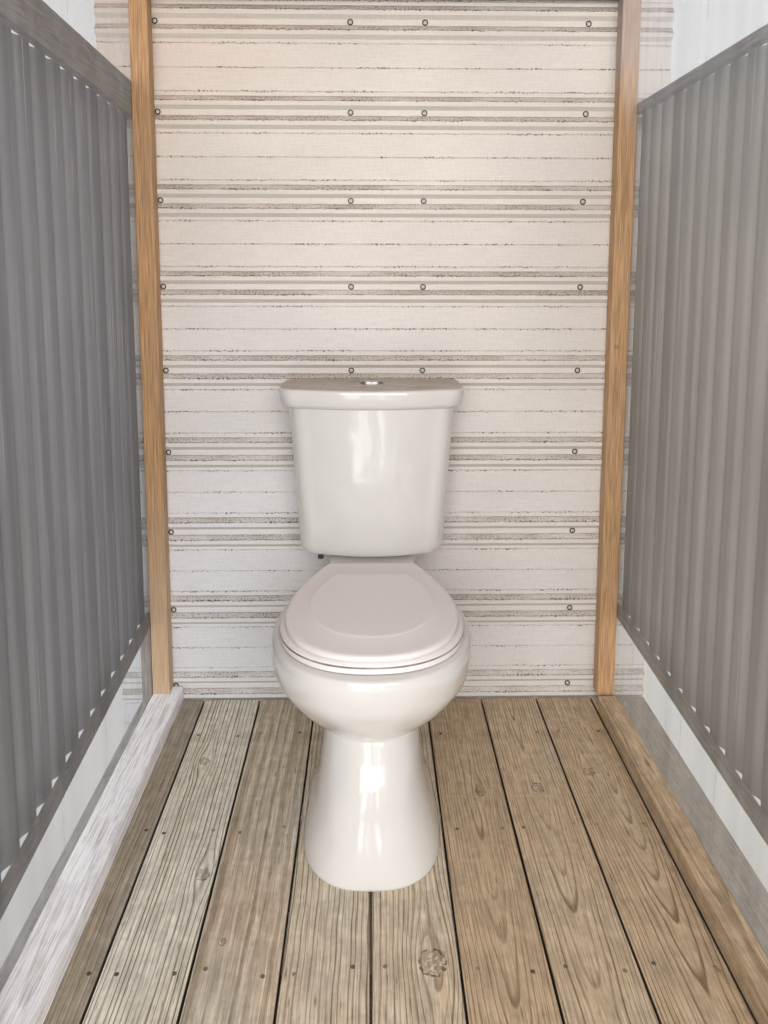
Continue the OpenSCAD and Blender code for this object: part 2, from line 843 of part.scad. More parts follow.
legs();
left_rim_beam();
right_rim_beam();
right_sill();
joists();
deck_boards();
left_floor_plate();
right_floor_batten();
left_back_post();
right_back_post();
left_mid_post();
right_mid_post();
left_front_post();
right_front_post();
left_rail_blocks();
left_screen();
right_screen();
left_bottom_rail();
right_bottom_rail();
left_top_rail();
right_top_rail();
left_side_sheet();
right_side_sheet();
back_siding();
wall_studs();
skirt_board();
back_header();
front_header();
rafters();
roof_boarding();
roof_sheet();
front_fascia();
back_fascia();
toilet_bowl();
seat_ring();
seat_lid();
seat_hinges();
tank_gasket();
toilet_tank();
tank_lid();
flush_button();
fill_inlet();
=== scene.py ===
"""Finish of a wooden outhouse around its packed model: boards, siding, sheets, screens and toilet."""

import math
import random

import bmesh
import bpy
import numpy as np
from bpy.props import FloatProperty, FloatVectorProperty, IntProperty, PointerProperty
from mathutils import Matrix, Vector


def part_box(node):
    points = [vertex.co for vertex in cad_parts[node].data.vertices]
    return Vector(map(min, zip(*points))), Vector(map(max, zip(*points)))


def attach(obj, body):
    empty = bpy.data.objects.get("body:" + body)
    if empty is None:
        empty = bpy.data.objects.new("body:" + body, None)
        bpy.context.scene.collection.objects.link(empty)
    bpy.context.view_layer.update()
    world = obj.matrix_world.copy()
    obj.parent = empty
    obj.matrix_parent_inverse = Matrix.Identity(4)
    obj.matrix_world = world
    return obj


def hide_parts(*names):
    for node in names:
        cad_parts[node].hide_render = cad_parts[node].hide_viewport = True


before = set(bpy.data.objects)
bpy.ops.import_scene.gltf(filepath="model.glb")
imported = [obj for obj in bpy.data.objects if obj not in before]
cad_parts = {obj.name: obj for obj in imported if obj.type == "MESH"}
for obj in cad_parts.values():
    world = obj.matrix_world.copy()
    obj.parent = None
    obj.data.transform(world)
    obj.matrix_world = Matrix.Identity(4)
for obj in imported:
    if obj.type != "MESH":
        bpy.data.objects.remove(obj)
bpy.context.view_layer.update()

bl_info = {
    "name": "Wooden Outhouse",
    "version": (1, 0, 0),
    "blender": (4, 5, 0),
    "location": "View3D > Sidebar > Outhouse",
    "description": "Makes the finished pieces of a wooden outhouse on its packed frame",
    "category": "Object",
}

STALL = "stall"
SEAT_LID = "seat_lid"
MM = 0.001
DECK_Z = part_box("deck_boards")[1].z
SIDES = (("left", -1), ("right", 1))
WALL_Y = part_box("left_back_post")[1].y
TOILET_X = sum(v.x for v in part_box("toilet_tank")) / 2


def length(name, description, default, low=0.0, high=10.0):
    """A length that a user may change, in metres."""
    return FloatProperty(
        name=name, description=description, default=default, min=low, max=high, unit="LENGTH", precision=4
    )


def share(name, description, default, high=1.0):
    """A plain number from nothing to high."""
    return FloatProperty(name=name, description=description, default=default, min=0.0, max=high)


def colour(name, description, default):
    """A linear colour that a user may change."""
    return FloatVectorProperty(
        name=name, description=description, default=default, min=0.0, max=1.0, size=3, subtype="COLOR"
    )


class TimberLook(bpy.types.PropertyGroup):
    """Sizes and colours of the sawn timber."""

    edge: length("Eased edge", "Width of the rounding along a board's edges", 0.003, 0.0005, 0.01)
    seed: IntProperty(name="Seed", description="Start of the random choices for boards", default=11)
    knot: colour("Knot", "Colour of a knot", (0.2, 0.12, 0.07))
    knot_edge: colour("Knot edge", "Colour of the bark round a knot", (0.07, 0.045, 0.03))


# Linear colours of each timber: the pale and the brown parts of its early wood, and its late wood
TIMBER_COLOURS = {
    "deck": ((0.75, 0.7, 0.575), (0.6, 0.44, 0.28), (0.24, 0.16, 0.095)),
    "plate": ((0.86, 0.83, 0.81), (0.74, 0.68, 0.62), (0.5, 0.43, 0.37)),
    "old": ((0.47, 0.44, 0.4), (0.37, 0.31, 0.25), (0.25, 0.2, 0.15)),
    "pine": ((0.62, 0.41, 0.23), (0.54, 0.31, 0.15), (0.34, 0.18, 0.08)),
    "grey": ((0.33, 0.34, 0.36), (0.28, 0.28, 0.29), (0.17, 0.17, 0.18)),
}
for kind, tones in TIMBER_COLOURS.items():
    for part, tone in zip(("pale", "brown", "late"), tones):
        words = colour(f"{kind.title()}, {part}", f"The {part} wood of the {kind} timber", tone)
        TimberLook.__annotations__[f"{kind}_{part}"] = words


class SidingLook(bpy.types.PropertyGroup):
    """Sizes and colours of the ribbed siding."""

    paint: colour("Paint", "Cream paint of the siding", (0.77, 0.7, 0.64))
    paint_low: colour("Paint, low", "Cooler paint low on the wall", (0.75, 0.72, 0.69))
    shade: colour("Undersides", "Paint under the ribs, out of the light", (0.64, 0.59, 0.53))
    dirt: colour("Dirt", "Dirt lying on the ledges", (0.33, 0.26, 0.185))
    speck: colour("Specks", "Dark specks in the dirt", (0.06, 0.045, 0.03))
    washer: length("Washer", "Radius of a screw's dark sealing ring", 0.0072, 0.003, 0.02)
    dome: length("Dome", "Radius of the painted cup on the ring", 0.0044, 0.002, 0.02)
    head: length("Screw head", "Radius of a screw's head", 0.0024, 0.001, 0.01)


class SheetLook(bpy.types.PropertyGroup):
    """Sizes and colours of the corrugated sheets."""

    pitch: length("Pitch", "Distance from rib to rib", 0.064, 0.03, 0.12)
    depth: length("Depth", "Depth of the ribs", 0.016, 0.005, 0.04)
    thickness: length("Thickness", "Thickness of the sheet", 0.0012, 0.0004, 0.004)
    steps: IntProperty(name="Steps", description="Faces across one rib", default=16, min=6, max=48)
    start: length("Start", "Distance from the siding to the first rib", 0.047, 0.0, 0.2)
    paint: colour("Paint", "Faded taupe paint", (0.6, 0.57, 0.51))
    paint_left: colour("Paint, left", "Greyer paint of the left sheet", (0.39, 0.39, 0.43))
    stain: colour("Stain", "Pale runs down the sheet", (0.55, 0.52, 0.48))


class ScreenLook(bpy.types.PropertyGroup):
    """Sizes and colours of the insect screens."""

    # The right mesh's thread is paler and warmer than the left's.
    thread: colour("Thread", "Dusty thread of the right mesh", (0.5, 0.49, 0.46))
    thread_left: colour("Thread, left", "Cooler thread of the left mesh", (0.38, 0.39, 0.42))
    pitch: length("Mesh pitch", "Distance between threads", 0.0016, 0.0008, 0.004)
    cover: share("Cover", "Share of the mesh that is thread", 0.5)
    pleat: length("Pleat", "Height of the folds near the back corners", 0.004, 0.0, 0.01)


class ToiletLook(bpy.types.PropertyGroup):
    """Sizes and colours of the toilet."""

    glaze: colour("Glaze", "White glaze", (0.73, 0.71, 0.68))
    seat: colour("Seat", "White seat plastic", (0.84, 0.8, 0.78))
    dust: colour("Dust", "Dust on level surfaces", (0.4, 0.33, 0.27))
    film: colour("Film", "Thin dust on the seat's lid", (0.87, 0.81, 0.83))
    sides: IntProperty(
        name="Sides", description="Points round a ring of the glazed body", default=128, min=32, max=256
    )


class StageLook(bpy.types.PropertyGroup):
    """The floor, the lamps and the camera."""

    floor: colour("Floor", "Pale floor", (0.82, 0.82, 0.81))
    sky: share("Sky", "Strength of the even light", 1.0, 4.0)
    lamp: share("Front lamp", "Power of the large lamp in front, in watts", 140.0, 2000.0)
    strip: share("Low strips", "Power of each narrow low lamp in front, in watts", 1.5, 100.0)
    lens: FloatProperty(
        name="Lens", description="Focal length on a 36 mm tall frame", default=27.04, min=10, max=80
    )


PROPERTY_GROUPS = {
    "outhouse_timber": TimberLook,
    "outhouse_siding": SidingLook,
    "outhouse_sheets": SheetLook,
    "outhouse_screens": ScreenLook,
    "outhouse_toilet": ToiletLook,
    "outhouse_stage": StageLook,
}


# Node trees


class Value:
    """A node's output, which can stand in sums, differences, products and quotients."""

    def __init__(self, kit, socket):
        self.kit, self.socket = kit, socket

    def __abs__(self):
        return self.kit.math("ABSOLUTE", self)


for sign, kind in (("add", "ADD"), ("sub", "SUBTRACT"), ("mul", "MULTIPLY"), ("truediv", "DIVIDE")):
    setattr(Value, f"__{sign}__", lambda self, other, kind=kind: self.kit.math(kind, self, other))
    setattr(Value, f"__r{sign}__", lambda self, other, kind=kind: self.kit.math(kind, other, self))


class Kit:
    """Adds nodes to one tree. It takes numbers, colours, Values, and tuples with Values in them."""

    def __init__(self, tree):
        self.tree = tree

    def node(self, kind, **settings):
        made = self.tree.nodes.new(kind)
        for key, value in settings.items():
            setattr(made, key, value)
        return made

    def put(self, socket, value):
        if isinstance(value, tuple) and any(isinstance(part, Value) for part in value):
            value = self.join(*value)
        if isinstance(value, Value):
            self.tree.links.new(value.socket, socket)
        elif value is not None:
            socket.default_value = (*value, 1.0) if socket.type == "RGBA" and len(value) == 3 else value

    def fill(self, node, **values):
        for name, value in values.items():
            self.put(node.inputs[name.replace("_", " ")], value)

    def values(self, sockets):
        return {socket.name: Value(self, socket) for socket in sockets}

    def made(self, kind, inputs=None, output=0, **settings):
        """Adds a node with its inputs, by number or name, and returns one of its outputs."""
        node = self.node(kind, **settings)
        for key, value in (inputs or {}).items():
            self.put(node.inputs[key], value)
        return Value(self, node.outputs[output])

    def math(self, operation, *values):
        return self.made("ShaderNodeMath", dict(enumerate(values)), operation=operation)

    def most(self, a, b):
        return self.math("MAXIMUM", a, b)

    def least(self, a, b):
        return self.math("MINIMUM", a, b)

    def sum_of_product(self, a, b, c):
        return self.math("MULTIPLY_ADD", a, b, c)

    def root_of_squares(self, a, b):
        return self.math("SQRT", self.sum_of_product(a, a, b * b))

    def split(self, vector):
        made = self.node("ShaderNodeSeparateXYZ")
        self.put(made.inputs[0], vector)
        return [Value(self, socket) for socket in made.outputs]

    def join(self, x=0.0, y=0.0, z=0.0):
        return self.made("ShaderNodeCombineXYZ", {0: x, 1: y, 2: z})

    def place(self):
        return self.made("ShaderNodeTexCoord", output="Object")

    def facing(self):
        return self.split(self.made("ShaderNodeNewGeometry", output="Normal"))

    def attribute(self, name, output="Vector"):
        return self.made("ShaderNodeAttribute", None, output, attribute_type="GEOMETRY", attribute_name=name)

    def noise(self, vector, scale=1.0, detail=2.0, roughness=0.5, output="Fac"):
        inputs = {"Vector": vector, "Scale": scale, "Detail": detail, "Roughness": roughness}
        return self.made("ShaderNodeTexNoise", inputs, output)

    def fade(self, value, low, high, to_low=0.0, to_high=1.0):
        inputs = {"Value": value, "From Min": low, "From Max": high, "To Min": to_low, "To Max": to_high}
        return self.made("ShaderNodeMapRange", inputs, interpolation_type="SMOOTHSTEP")

    def span(self, value, to_low, to_high):
        """Takes a value from 0 to 1 to another range."""
        return self.sum_of_product(value, to_high - to_low, to_low)

    def mix(self, factor, a, b, blend="MIX"):
        return self.made("ShaderNodeMix", {0: factor, 6: a, 7: b}, 2, data_type="RGBA", blend_type=blend)

    def shade(self, colour_in, value):
        """Multiplies a colour by a plain value."""
        return self.made("ShaderNodeVectorMath", {0: colour_in, "Scale": value}, operation="SCALE")

    def bump(self, height, distance):
        return self.made("ShaderNodeBump", {"Height": height, "Distance": distance, "Strength": 1.0})

    def group(self, name, **values):
        made = self.node("ShaderNodeGroup", node_tree=bpy.data.node_groups[name])
        self.fill(made, **values)
        return self.values(made.outputs)


def shader_group(name, inputs, outputs):
    """Starts a shader node group and returns its kit, its input sockets and its output node."""
    tree = bpy.data.node_groups.new(name, "ShaderNodeTree")
    for label, value in inputs.items():
        tree.interface.new_socket(label, in_out="INPUT", socket_type="NodeSocketFloat").default_value = value
    for label in outputs:
        tree.interface.new_socket(label, in_out="OUTPUT", socket_type="NodeSocketFloat")
    kit = Kit(tree)
    return kit, kit.values(kit.node("NodeGroupInput").outputs), kit.node("NodeGroupOutput").inputs


class Finish(Kit):
    """A material's tree, with its Principled shader."""

    def __init__(self, name, metallic=0.0, coat=0.0, specular=0.5):
        self.material = bpy.data.materials.new(name)
        self.material.use_nodes = True
        super().__init__(self.material.node_tree)
        self.set(Metallic=metallic, Coat_Weight=coat, Specular_IOR_Level=specular)

    def set(self, **values):
        """Gives the shader its inputs and returns the material."""
        self.fill(self.tree.nodes["Principled BSDF"], **values)
        return self.material

    def specked(self, paint, size, amount, tone):
        """A colour with specks of dirt on it."""
        return self.mix(self.group("Dirt", Speck_Size=size, Amount=amount)["Specks"], paint, tone)


# Shared shader effects


def timber_group():
    """Growth rings cut by a board's faces, bent round its knots, with fine fibre."""
    kit, given, out = shader_group(
        "Sawn timber",
        {"Line Start": 0.6, "Fibre Scale": 1.0},
        ("Line", "Fibre", "Knot", "Knot Edge", "Check", "Tone", "Blotch", "Bright", "Cool"),
    )
    place = kit.attribute("grain")
    x, y, z = kit.split(place)
    pith_x, pith_z, ring = kit.split(kit.attribute("cut"))
    seed, tone, wander = kit.split(kit.attribute("look"))
    taper_x, taper_z, soft = kit.split(kit.attribute("taper"))
    bright, cool, _ = kit.split(kit.attribute("cast"))
    shift = seed * 37
    slow = kit.noise((y * 1.3, shift), 1, 1, 0.5, "Color")
    quick = kit.noise((y * 7, shift, 5), 1, 1, 0.5, "Color")
    drift = []
    for index, reach in ((0, 2.0), (1, 3.0)):
        far = (kit.split(slow)[index] - 0.5) * reach
        near = (kit.split(quick)[index] - 0.5) * (reach * 0.16)
        drift.append((far + near) * wander)
    across = x - pith_x - drift[0] - taper_x * y
    deep = z - pith_z - drift[1] - taper_z * y
    knots = bark = 0.0
    ragged = (kit.noise(place, 70, 2, 0.65) - 0.5) * 0.9
    flakes = kit.fade(kit.noise(place, 120, 0), 0.35, 0.6)
    for name in ("knot_a", "knot_b"):
        knot_x, knot_y, radius = kit.split(kit.attribute(name))
        side = x - knot_x
        ahead = y - knot_y
        wide = side / (radius * 2)
        long = ahead / (radius * 4.5)
        spread = kit.math("EXPONENT", kit.sum_of_product(wide, wide, long * long) * -1)
        push = side * spread * radius / kit.root_of_squares(side, radius)
        across = across - push * 1.5
        out_from = kit.root_of_squares(side, ahead * 0.8) / radius + ragged
        knots = kit.most(knots, kit.fade(out_from, 1.05, 0.75))
        rim = kit.fade(abs(out_from - 0.95), 0.13, 0.02)
        bark = kit.most(bark, rim * flakes)
    uneven = (kit.noise((x * 26, y * 7, shift), 1, 2) - 0.5) * 0.002
    distance = kit.root_of_squares(across, deep) + uneven
    bands = kit.noise((distance * 60, shift, 9), 1, 1)
    turn = kit.math("FRACT", distance / ring + bands * 1.6)
    rise = kit.fade(turn, given["Line Start"], 0.9)
    crisp = rise * kit.fade(turn, 1, 0.93)
    broad = kit.fade(abs(turn - 0.5), 0.45, 0.05, 0, 0.7)
    line = kit.sum_of_product(broad - crisp, soft, crisp)
    strength = kit.noise((distance * 70, y * 1.1, shift), 1, 2)
    line = kit.least(line * kit.fade(strength, 0.3, 0.7, 0.45, 1.25), 1)
    fine = kit.join(x * 480, y * 11, z * 480)
    fibre = kit.noise(fine, given["Fibre Scale"], 1, 0.62)
    dashes = kit.noise((x * 300, y * 20, z * 300 + shift), 1, 1, 0.6)
    check = kit.fade(dashes, 0.68, 0.76)
    blotch = kit.noise((x * 9, y * 2.6, z * 9 + shift), 1, 3, 0.6)
    for socket, value in zip(out, (line, fibre, knots, bark, check, tone, blotch, bright, cool)):
        kit.put(socket, value)


def dirt_group():
    """Small dark specks in crowds, on the object's own coordinates."""
    kit, given, out = shader_group("Dirt", {"Speck Size": 0.004, "Amount": 0.5}, ("Specks",))
    place = kit.place()
    crowd = kit.noise(place, 7, 2, 0.6)
    reach = kit.noise(place, 260, 0)
    cells = {"Vector": place, "Scale": 0.16 / given["Speck Size"]}
    near = kit.made("ShaderNodeTexVoronoi", cells, "Distance")
    size = kit.fade(crowd, kit.span(given["Amount"], 0.85, 0.35), 0.95) * 0.3
    kit.put(out["Specks"], kit.fade(near - size * reach, 0.05, 0))


def dust_group():
    """Dust that lies on faces that look up."""
    kit, given, out = shader_group("Settled dust", {"Amount": 0.5, "Slope": 0.8}, ("Dust", "Grit"))
    place = kit.place()
    level = kit.fade(kit.facing()[2], given["Slope"] - 0.15, 1)
    patch = kit.span(kit.noise(place, 11, 4, 0.6), 0.45, 1.4)
    kit.put(out["Dust"], kit.least(level * patch * given["Amount"], 1))
    kit.put(out["Grit"], level * kit.fade(kit.noise(place, 320, 2, 0.7), 0.66, 0.74))


# Materials


# Each timber's material: its name, the contrast and start of its late wood, roughness, relief and age
TIMBERS = {
    "deck": ("weathered deck pine", 0.95, 0.6, 0.75, 0.0011, 0.6),
    "plate": ("bleached plate timber", 0.4, 0.55, 0.8, 0.0009, 0.3),
    "old": ("grey framing timber", 0.5, 0.55, 0.8, 0.0009, 0.7),
    "pine": ("fresh pine", 0.5, 0.4, 0.6, 0.0003, 0.1),
    "grey": ("painted grey board", 0.3, 0.6, 0.75, 0.0006, 0.5),
}


def timber_material(kind):
    """Sawn timber whose early wood runs from pale to brown by the board's own tone."""
    look = bpy.context.scene.outhouse_timber
    name, contrast, line_start, rough, relief, aged = TIMBERS[kind]
    pale, brown, line = (getattr(look, f"{kind}_{part}") for part in ("pale", "brown", "late"))
    kit = Finish(name, specular=0.3)
    grain = kit.group("Sawn timber", Line_Start=line_start)
    dirt = kit.group("Dirt", Speck_Size=0.004, Amount=0.4)
    early = kit.mix(kit.fade(grain["Tone"] + (grain["Blotch"] - 0.5) * 0.9, 0.1, 0.9), pale, brown)
    grey = kit.mix(1, early, (0.86, 0.9, 0.97), "MULTIPLY")
    early = kit.mix(kit.fade(grain["Blotch"], 0.35, 0.65) * aged, early, grey)
    early = kit.mix(grain["Cool"], early, kit.mix(1, early, (0.82, 0.93, 1.12), "MULTIPLY"))
    early = kit.shade(early, grain["Bright"])
    wood = kit.mix(grain["Line"] * contrast, early, line)
    wood = kit.shade(wood, kit.fade(grain["Fibre"], 0.25, 0.75, 0.74, 1.24))
    wood = kit.shade(wood, kit.fade(grain["Blotch"], 0.25, 0.75, 0.86, 1.1))
    mottle = kit.noise(kit.attribute("grain"), 34, 2, 0.7)
    wood = kit.shade(wood, kit.span(kit.fade(mottle, 0.36, 0.66), 1.0 - aged * 0.2, 1.0 + aged * 0.12))
    inside = kit.noise(kit.place(), 130, 1, 0.7)
    heart = kit.mix(kit.fade(inside, 0.5, 0.65), look.knot, kit.shade(pale, 1.1))
    wood = kit.mix(grain["Knot"] * 0.4, wood, heart)
    wood = kit.mix(grain["Knot Edge"] * 0.85, wood, look.knot_edge)
    wood = kit.mix(grain["Check"] * aged, wood, kit.shade(line, 0.5))
    wood = kit.mix(dirt["Specks"] * 0.8, wood, (0.05, 0.035, 0.025))
    kit.set(Base_Color=wood, Roughness=kit.span(grain["Fibre"], rough + 0.1, rough - 0.1))
    x, y, z = kit.split(kit.attribute("grain"))
    ridges = kit.noise((x * 260, y * 6, z * 260), 1, 1, 0.6)
    kit.set(Normal=kit.bump(ridges, relief * 0.7))
    return kit, wood


def deck_material():
    """Deck pine, painted nearly black down the sides of the gaps between the boards."""
    kit, wood = timber_material("deck")
    # The sides of each board are painted nearly black from its top down into the gap.
    side = kit.fade(abs(kit.facing()[0]), 0.45, 0.8)
    down = kit.fade(kit.split(kit.place())[2], DECK_Z - 0.0006, DECK_Z - 0.004)
    return kit.set(Base_Color=kit.mix(side * down * 0.9, wood, (0.045, 0.035, 0.028)))


def pine_material():
    """Fresh pine with painted skylight, a pale grey violet high on the right-hand posts; a paler tan low on
    the left-hand posts.
    """
    kit, wood = timber_material("pine")
    x, y, z = kit.split(kit.place())
    edge = (kit.noise((x * 30, y, z * 4), 1, 3) - 0.5) * 0.35
    # Painted light: high on the right-hand posts the pine turns a pale grey violet, where the sky lights it.
    sky_lit = kit.fade(z + edge, 1.72, 1.95) * kit.fade(x, 0, 0.1)
    wood = kit.mix(sky_lit * 0.85, wood, kit.mix(0.4, (0.4, 0.4, 0.44), wood))
    low = kit.fade(z + edge, 0.95, 0.6) * kit.fade(x, 0, -0.1)
    return kit.set(Base_Color=kit.mix(low * 0.55, wood, kit.mix(0.3, (0.66, 0.55, 0.42), wood)))


def siding_material():
    """Painted steel siding: dirt on ledges and fine lines, painted shade under the ribs and a painted shadow
    line atop each ledge, a grain pressed into it and painted as light and shade.
    """
    look = bpy.context.scene.outhouse_siding
    kit = Finish("cream siding paint", specular=0.4)
    x, y, z = kit.split(kit.place())
    paint = kit.mix(kit.fade(z, DECK_Z, DECK_Z + 1.5), look.paint_low, look.paint)
    cool = kit.fade(x, 0.3, -0.5) * kit.fade(z, 1.6, 0.5)
    paint = kit.mix(cool * 0.8, paint, (0.78, 0.79, 0.83))
    warm = kit.fade(x, 0, -0.5) * kit.fade(z, 1.6, 2.1)
    paint = kit.mix(warm * 0.8, paint, (0.72, 0.6, 0.52))
    tint = kit.noise((x * 1.4, 0, z * 2.6), 1, 2, 0.6)
    paint = kit.shade(paint, kit.fade(tint, 0.3, 0.7, 0.93, 1.04))
    below = kit.math("MODULO", BAND_TOP + 20 * BAND_PITCH - z, BAND_PITCH)
    wobble = (kit.noise((x * 60, 0, z * 8), 1, 2, 0.7) - 0.5) * 0.0022
    loose = below + wobble
    patch = kit.noise((x * 4.5, 3, z * 7), 1, 3, 0.65)
    grit = kit.noise((x * 260, 0, z * 340), 1, 1, 0.75)
    runs = kit.noise((x * 30, 0, z * 130), 1, 2, 0.65)

    def strip(value, start, end, soft):
        return kit.fade(value, start - soft, start + soft) * kit.fade(value, end + soft, end - soft)

    def stroke(at, half):
        return kit.fade(abs(loose - at), half * 1.6, half * 0.4)

    ledge, lip, shadow, fine, step_shadow, crumb_band = (0.0,) * 6
    for start in LEDGES:
        ledge = kit.most(ledge, strip(loose, start + 0.001, start + LEDGE_H, 0.0009))
        lip = kit.most(lip, stroke(start + LEDGE_H, 0.0011))
        step_shadow = kit.most(step_shadow, stroke(start + 0.0008, 0.001))
        crumb_band = kit.most(crumb_band, stroke(start + LEDGE_H, 0.0026))
        shadow = kit.most(shadow, strip(below, start + UNDER[0], start + UNDER[1], 0.0007))
    for at in FINE_LINES:
        fine = kit.most(fine, stroke(at, 0.0013))
        crumb_band = kit.most(crumb_band, stroke(at, 0.0024) * 0.95)
    upper = kit.fade(kit.least(below, abs(below - LEDGES[1])), 0, LEDGE_H, 1, 0.6)
    film = ledge * (kit.fade(patch, 0.3, 0.65, 0.2, 1) * kit.fade(grit, 0.3, 0.6, 0.55, 1))
    film = film * upper
    # Painted shade: the undersides of the ribs take a darker paint, as faces out of the light.
    coat = kit.mix(shadow * 0.9, paint, look.shade)
    coat = kit.mix(film * 0.82, coat, look.dirt)
    coat = kit.mix(fine * kit.fade(runs, 0.35, 0.7, 0.1, 0.42), coat, look.dirt)
    dark = kit.fade(grit, 0.53, 0.62) * kit.fade(patch, 0.35, 0.6, 0.35, 1)
    specks = kit.most(ledge * (dark * 0.6), kit.most(lip, fine * 0.35) * dark)
    edge = lip * kit.fade(runs, 0.35, 0.6, 0.2, 0.75)
    coat = kit.mix(edge, coat, kit.shade(look.dirt, 0.62))
    coat = kit.mix(specks, coat, look.speck)
    # Painted shadow: a dark thin line along the step at the top of each ledge, in a darkened dirt colour.
    coat = kit.mix(step_shadow * kit.fade(runs, 0.3, 0.6, 0.25, 0.7), coat, kit.shade(look.dirt, 0.8))
    crumbs = kit.noise((x * 170, 7, z * 210), 1, 1, 0.6)
    herd = kit.noise((x * 11, 5, z * 9), 1, 1, 0.6)
    crumbs = kit.fade(crumbs * kit.fade(herd, 0.3, 0.65, 0.8, 1.12), 0.6, 0.64) * crumb_band
    coat = kit.mix(crumbs * 0.85, coat, look.speck)
    coat = kit.specked(coat, 0.003, 0.25, look.speck)
    emboss = kit.noise((x * 16, 0, z * 420), 1, 1, 0.6)
    weave = kit.noise((x * 260, 0, z * 60), 1, 0)
    relief = emboss * 0.8 + weave * 0.35
    # Painted light and shade: the paint is a little brighter and darker along the pressed grain.
    coat = kit.shade(coat, kit.fade(emboss + weave * 0.5, 0.45, 1, 0.94, 1.04))
    kit.set(Base_Color=coat, Roughness=kit.fade(film, 0, 0.6, 0.5, 0.85))
    return kit.set(Normal=kit.bump(relief, 0.0006))


def sheet_material(name, roof=False):
    """Faded corrugated sheet with pale runs along its ribs, which lie along the slope on the roof; the side
    sheets have painted light and shade across each rib.
    """
    look = bpy.context.scene.outhouse_sheets
    kit = Finish(name, specular=0.4)
    place = kit.place()
    x, y, z = kit.split(place)
    along, over = (y, x) if roof else (z, y)
    runs = kit.noise((over * 60, along * 0.8, 4), 1, 3, 0.65)
    thin = kit.noise((over * 300, along * 2, 4), 1, 1, 0.6)
    patch = kit.noise(place, 2.1, 2, 0.6)
    paint = look.paint if roof else kit.mix(kit.fade(x, -0.1, 0.1), look.paint_left, look.paint)
    paint = kit.shade(paint, kit.fade(patch, 0.3, 0.7, 0.85, 1.12))
    paint = kit.mix(kit.fade(runs, 0.5, 0.75, 0, 0.6), paint, look.stain)
    if not roof:
        # Painted light and shade: across each rib of a side sheet, one band is brighter and the trough
        # darker.
        across = (WALL_Y - look.start - y) / look.pitch
        trough = kit.math("PINGPONG", across + (runs - 0.5) * 0.3, 0.5)
        paint = kit.shade(paint, kit.fade(trough, 0.16, 0.32, 1.18, 0.6))
    paint = kit.mix(kit.fade(thin, 0.66, 0.74, 0, 0.8), paint, (0.72, 0.72, 0.72))
    paint = kit.specked(paint, 0.005, 0.2, (0.08, 0.07, 0.06))
    kit.set(Base_Color=paint, Roughness=kit.fade(runs, 0.3, 0.8, 0.5, 0.75))
    return kit.set(Normal=kit.bump(kit.noise(place, 40, 1), 0.0004))


def screen_material():
    """Insect screen on its own UV in metres: openings between grey threads, with painted glints, sheen and
    skylight.
    """
    look = bpy.context.scene.outhouse_screens
    kit = Finish("grey insect screen", specular=0.3)
    along, up, _ = kit.split(kit.made("ShaderNodeUVMap", uv_map="cloth"))
    half = look.cover / 2
    thread = 0.0
    for way in (along, up):
        wave = kit.math("PINGPONG", way / look.pitch, 0.5)
        thread = kit.most(thread, kit.fade(wave, half * 0.62, half * 0.38))
    slack = kit.noise((along * 12, up * 0.6), 1, 2, 0.65)
    broken = kit.noise((along * 60, up * 9), 1, 1, 0.7)
    glint_line = 0.0
    bends = kit.split(kit.noise((up * 2.6, 7.3), 1, 1, 0.5, "Color"))
    # Painted highlights: thin pale broken lines of glint running down the screens.
    for number, (at, lean, half_width) in enumerate(GLINT_LINES):
        bend = (bends[number % 3] - 0.5) * (0.02 if number < 3 else -0.02)
        centre = kit.sum_of_product(up - (DECK_Z + 1.25), lean, at) + bend
        apart = abs(WALL_Y - along - centre)
        glint_line = kit.most(glint_line, kit.fade(apart, half_width, half_width * 0.3))
    glint_line = glint_line * kit.fade(broken, 0.48, 0.6)
    side = kit.fade(kit.split(kit.place())[0], -0.1, 0.1)
    mesh = kit.mix(side, look.thread_left, look.thread)
    # Painted light: high on the right-hand screen the thread turns pale blue, where the sky lights it.
    high = side * kit.fade(up, DECK_Z + 0.9, DECK_Z + 1.7)
    mesh = kit.mix(high, mesh, (0.6, 0.66, 0.76))
    # Painted sheen: the thread is brighter and darker in broad patches, and the glint lines are pale.
    tone = kit.mix(glint_line, kit.shade(mesh, kit.fade(slack, 0.3, 0.7, 0.75, 1.25)), (0.62, 0.6, 0.58))
    kit.set(Base_Color=tone, Roughness=kit.span(slack, 0.5, 0.7))
    return kit.set(Alpha=kit.most(thread, glint_line * 0.85))


def glaze_material():
    """White glaze with a faint unevenness, a little dust and a few specks."""
    look = bpy.context.scene.outhouse_toilet
    kit = Finish("white glaze", coat=0.3)
    dust = kit.group("Settled dust", Amount=0.12, Slope=0.8)
    body = kit.mix(dust["Dust"], look.glaze, look.dust)
    tint = kit.noise(kit.place(), 5, 3)
    body = kit.shade(body, kit.fade(tint, 0.3, 0.7, 0.98, 1.01))
    body = kit.specked(body, 0.003, 0.1, (0.2, 0.15, 0.1))
    kit.set(Base_Color=body, Roughness=kit.fade(dust["Dust"], 0, 0.3, 0.08, 0.4))
    return kit.set(Normal=kit.bump(kit.noise(kit.place(), 8, 1.5), 0.009))


def dusty_glaze_material():
    """Glaze of the tank's lid, whose top carries brown dust."""
    look = bpy.context.scene.outhouse_toilet
    kit = Finish("dusty white glaze", coat=0.3)
    dust = kit.group("Settled dust", Amount=0.8, Slope=0.85)
    body = kit.mix(dust["Dust"], look.glaze, look.dust)
    cloud = kit.noise(kit.place(), 30, 5, 0.7)
    body = kit.mix(dust["Dust"] * kit.fade(cloud, 0.5, 0.7) * 0.7, body, (0.2, 0.15, 0.11))
    body = kit.mix(dust["Grit"] * 0.9, body, (0.08, 0.055, 0.035))
    kit.set(Base_Color=body, Roughness=kit.fade(dust["Dust"], 0, 0.4, 0.08, 0.6))
    return kit.set(Normal=kit.bump(kit.noise(kit.place(), 18, 2), 0.0006))


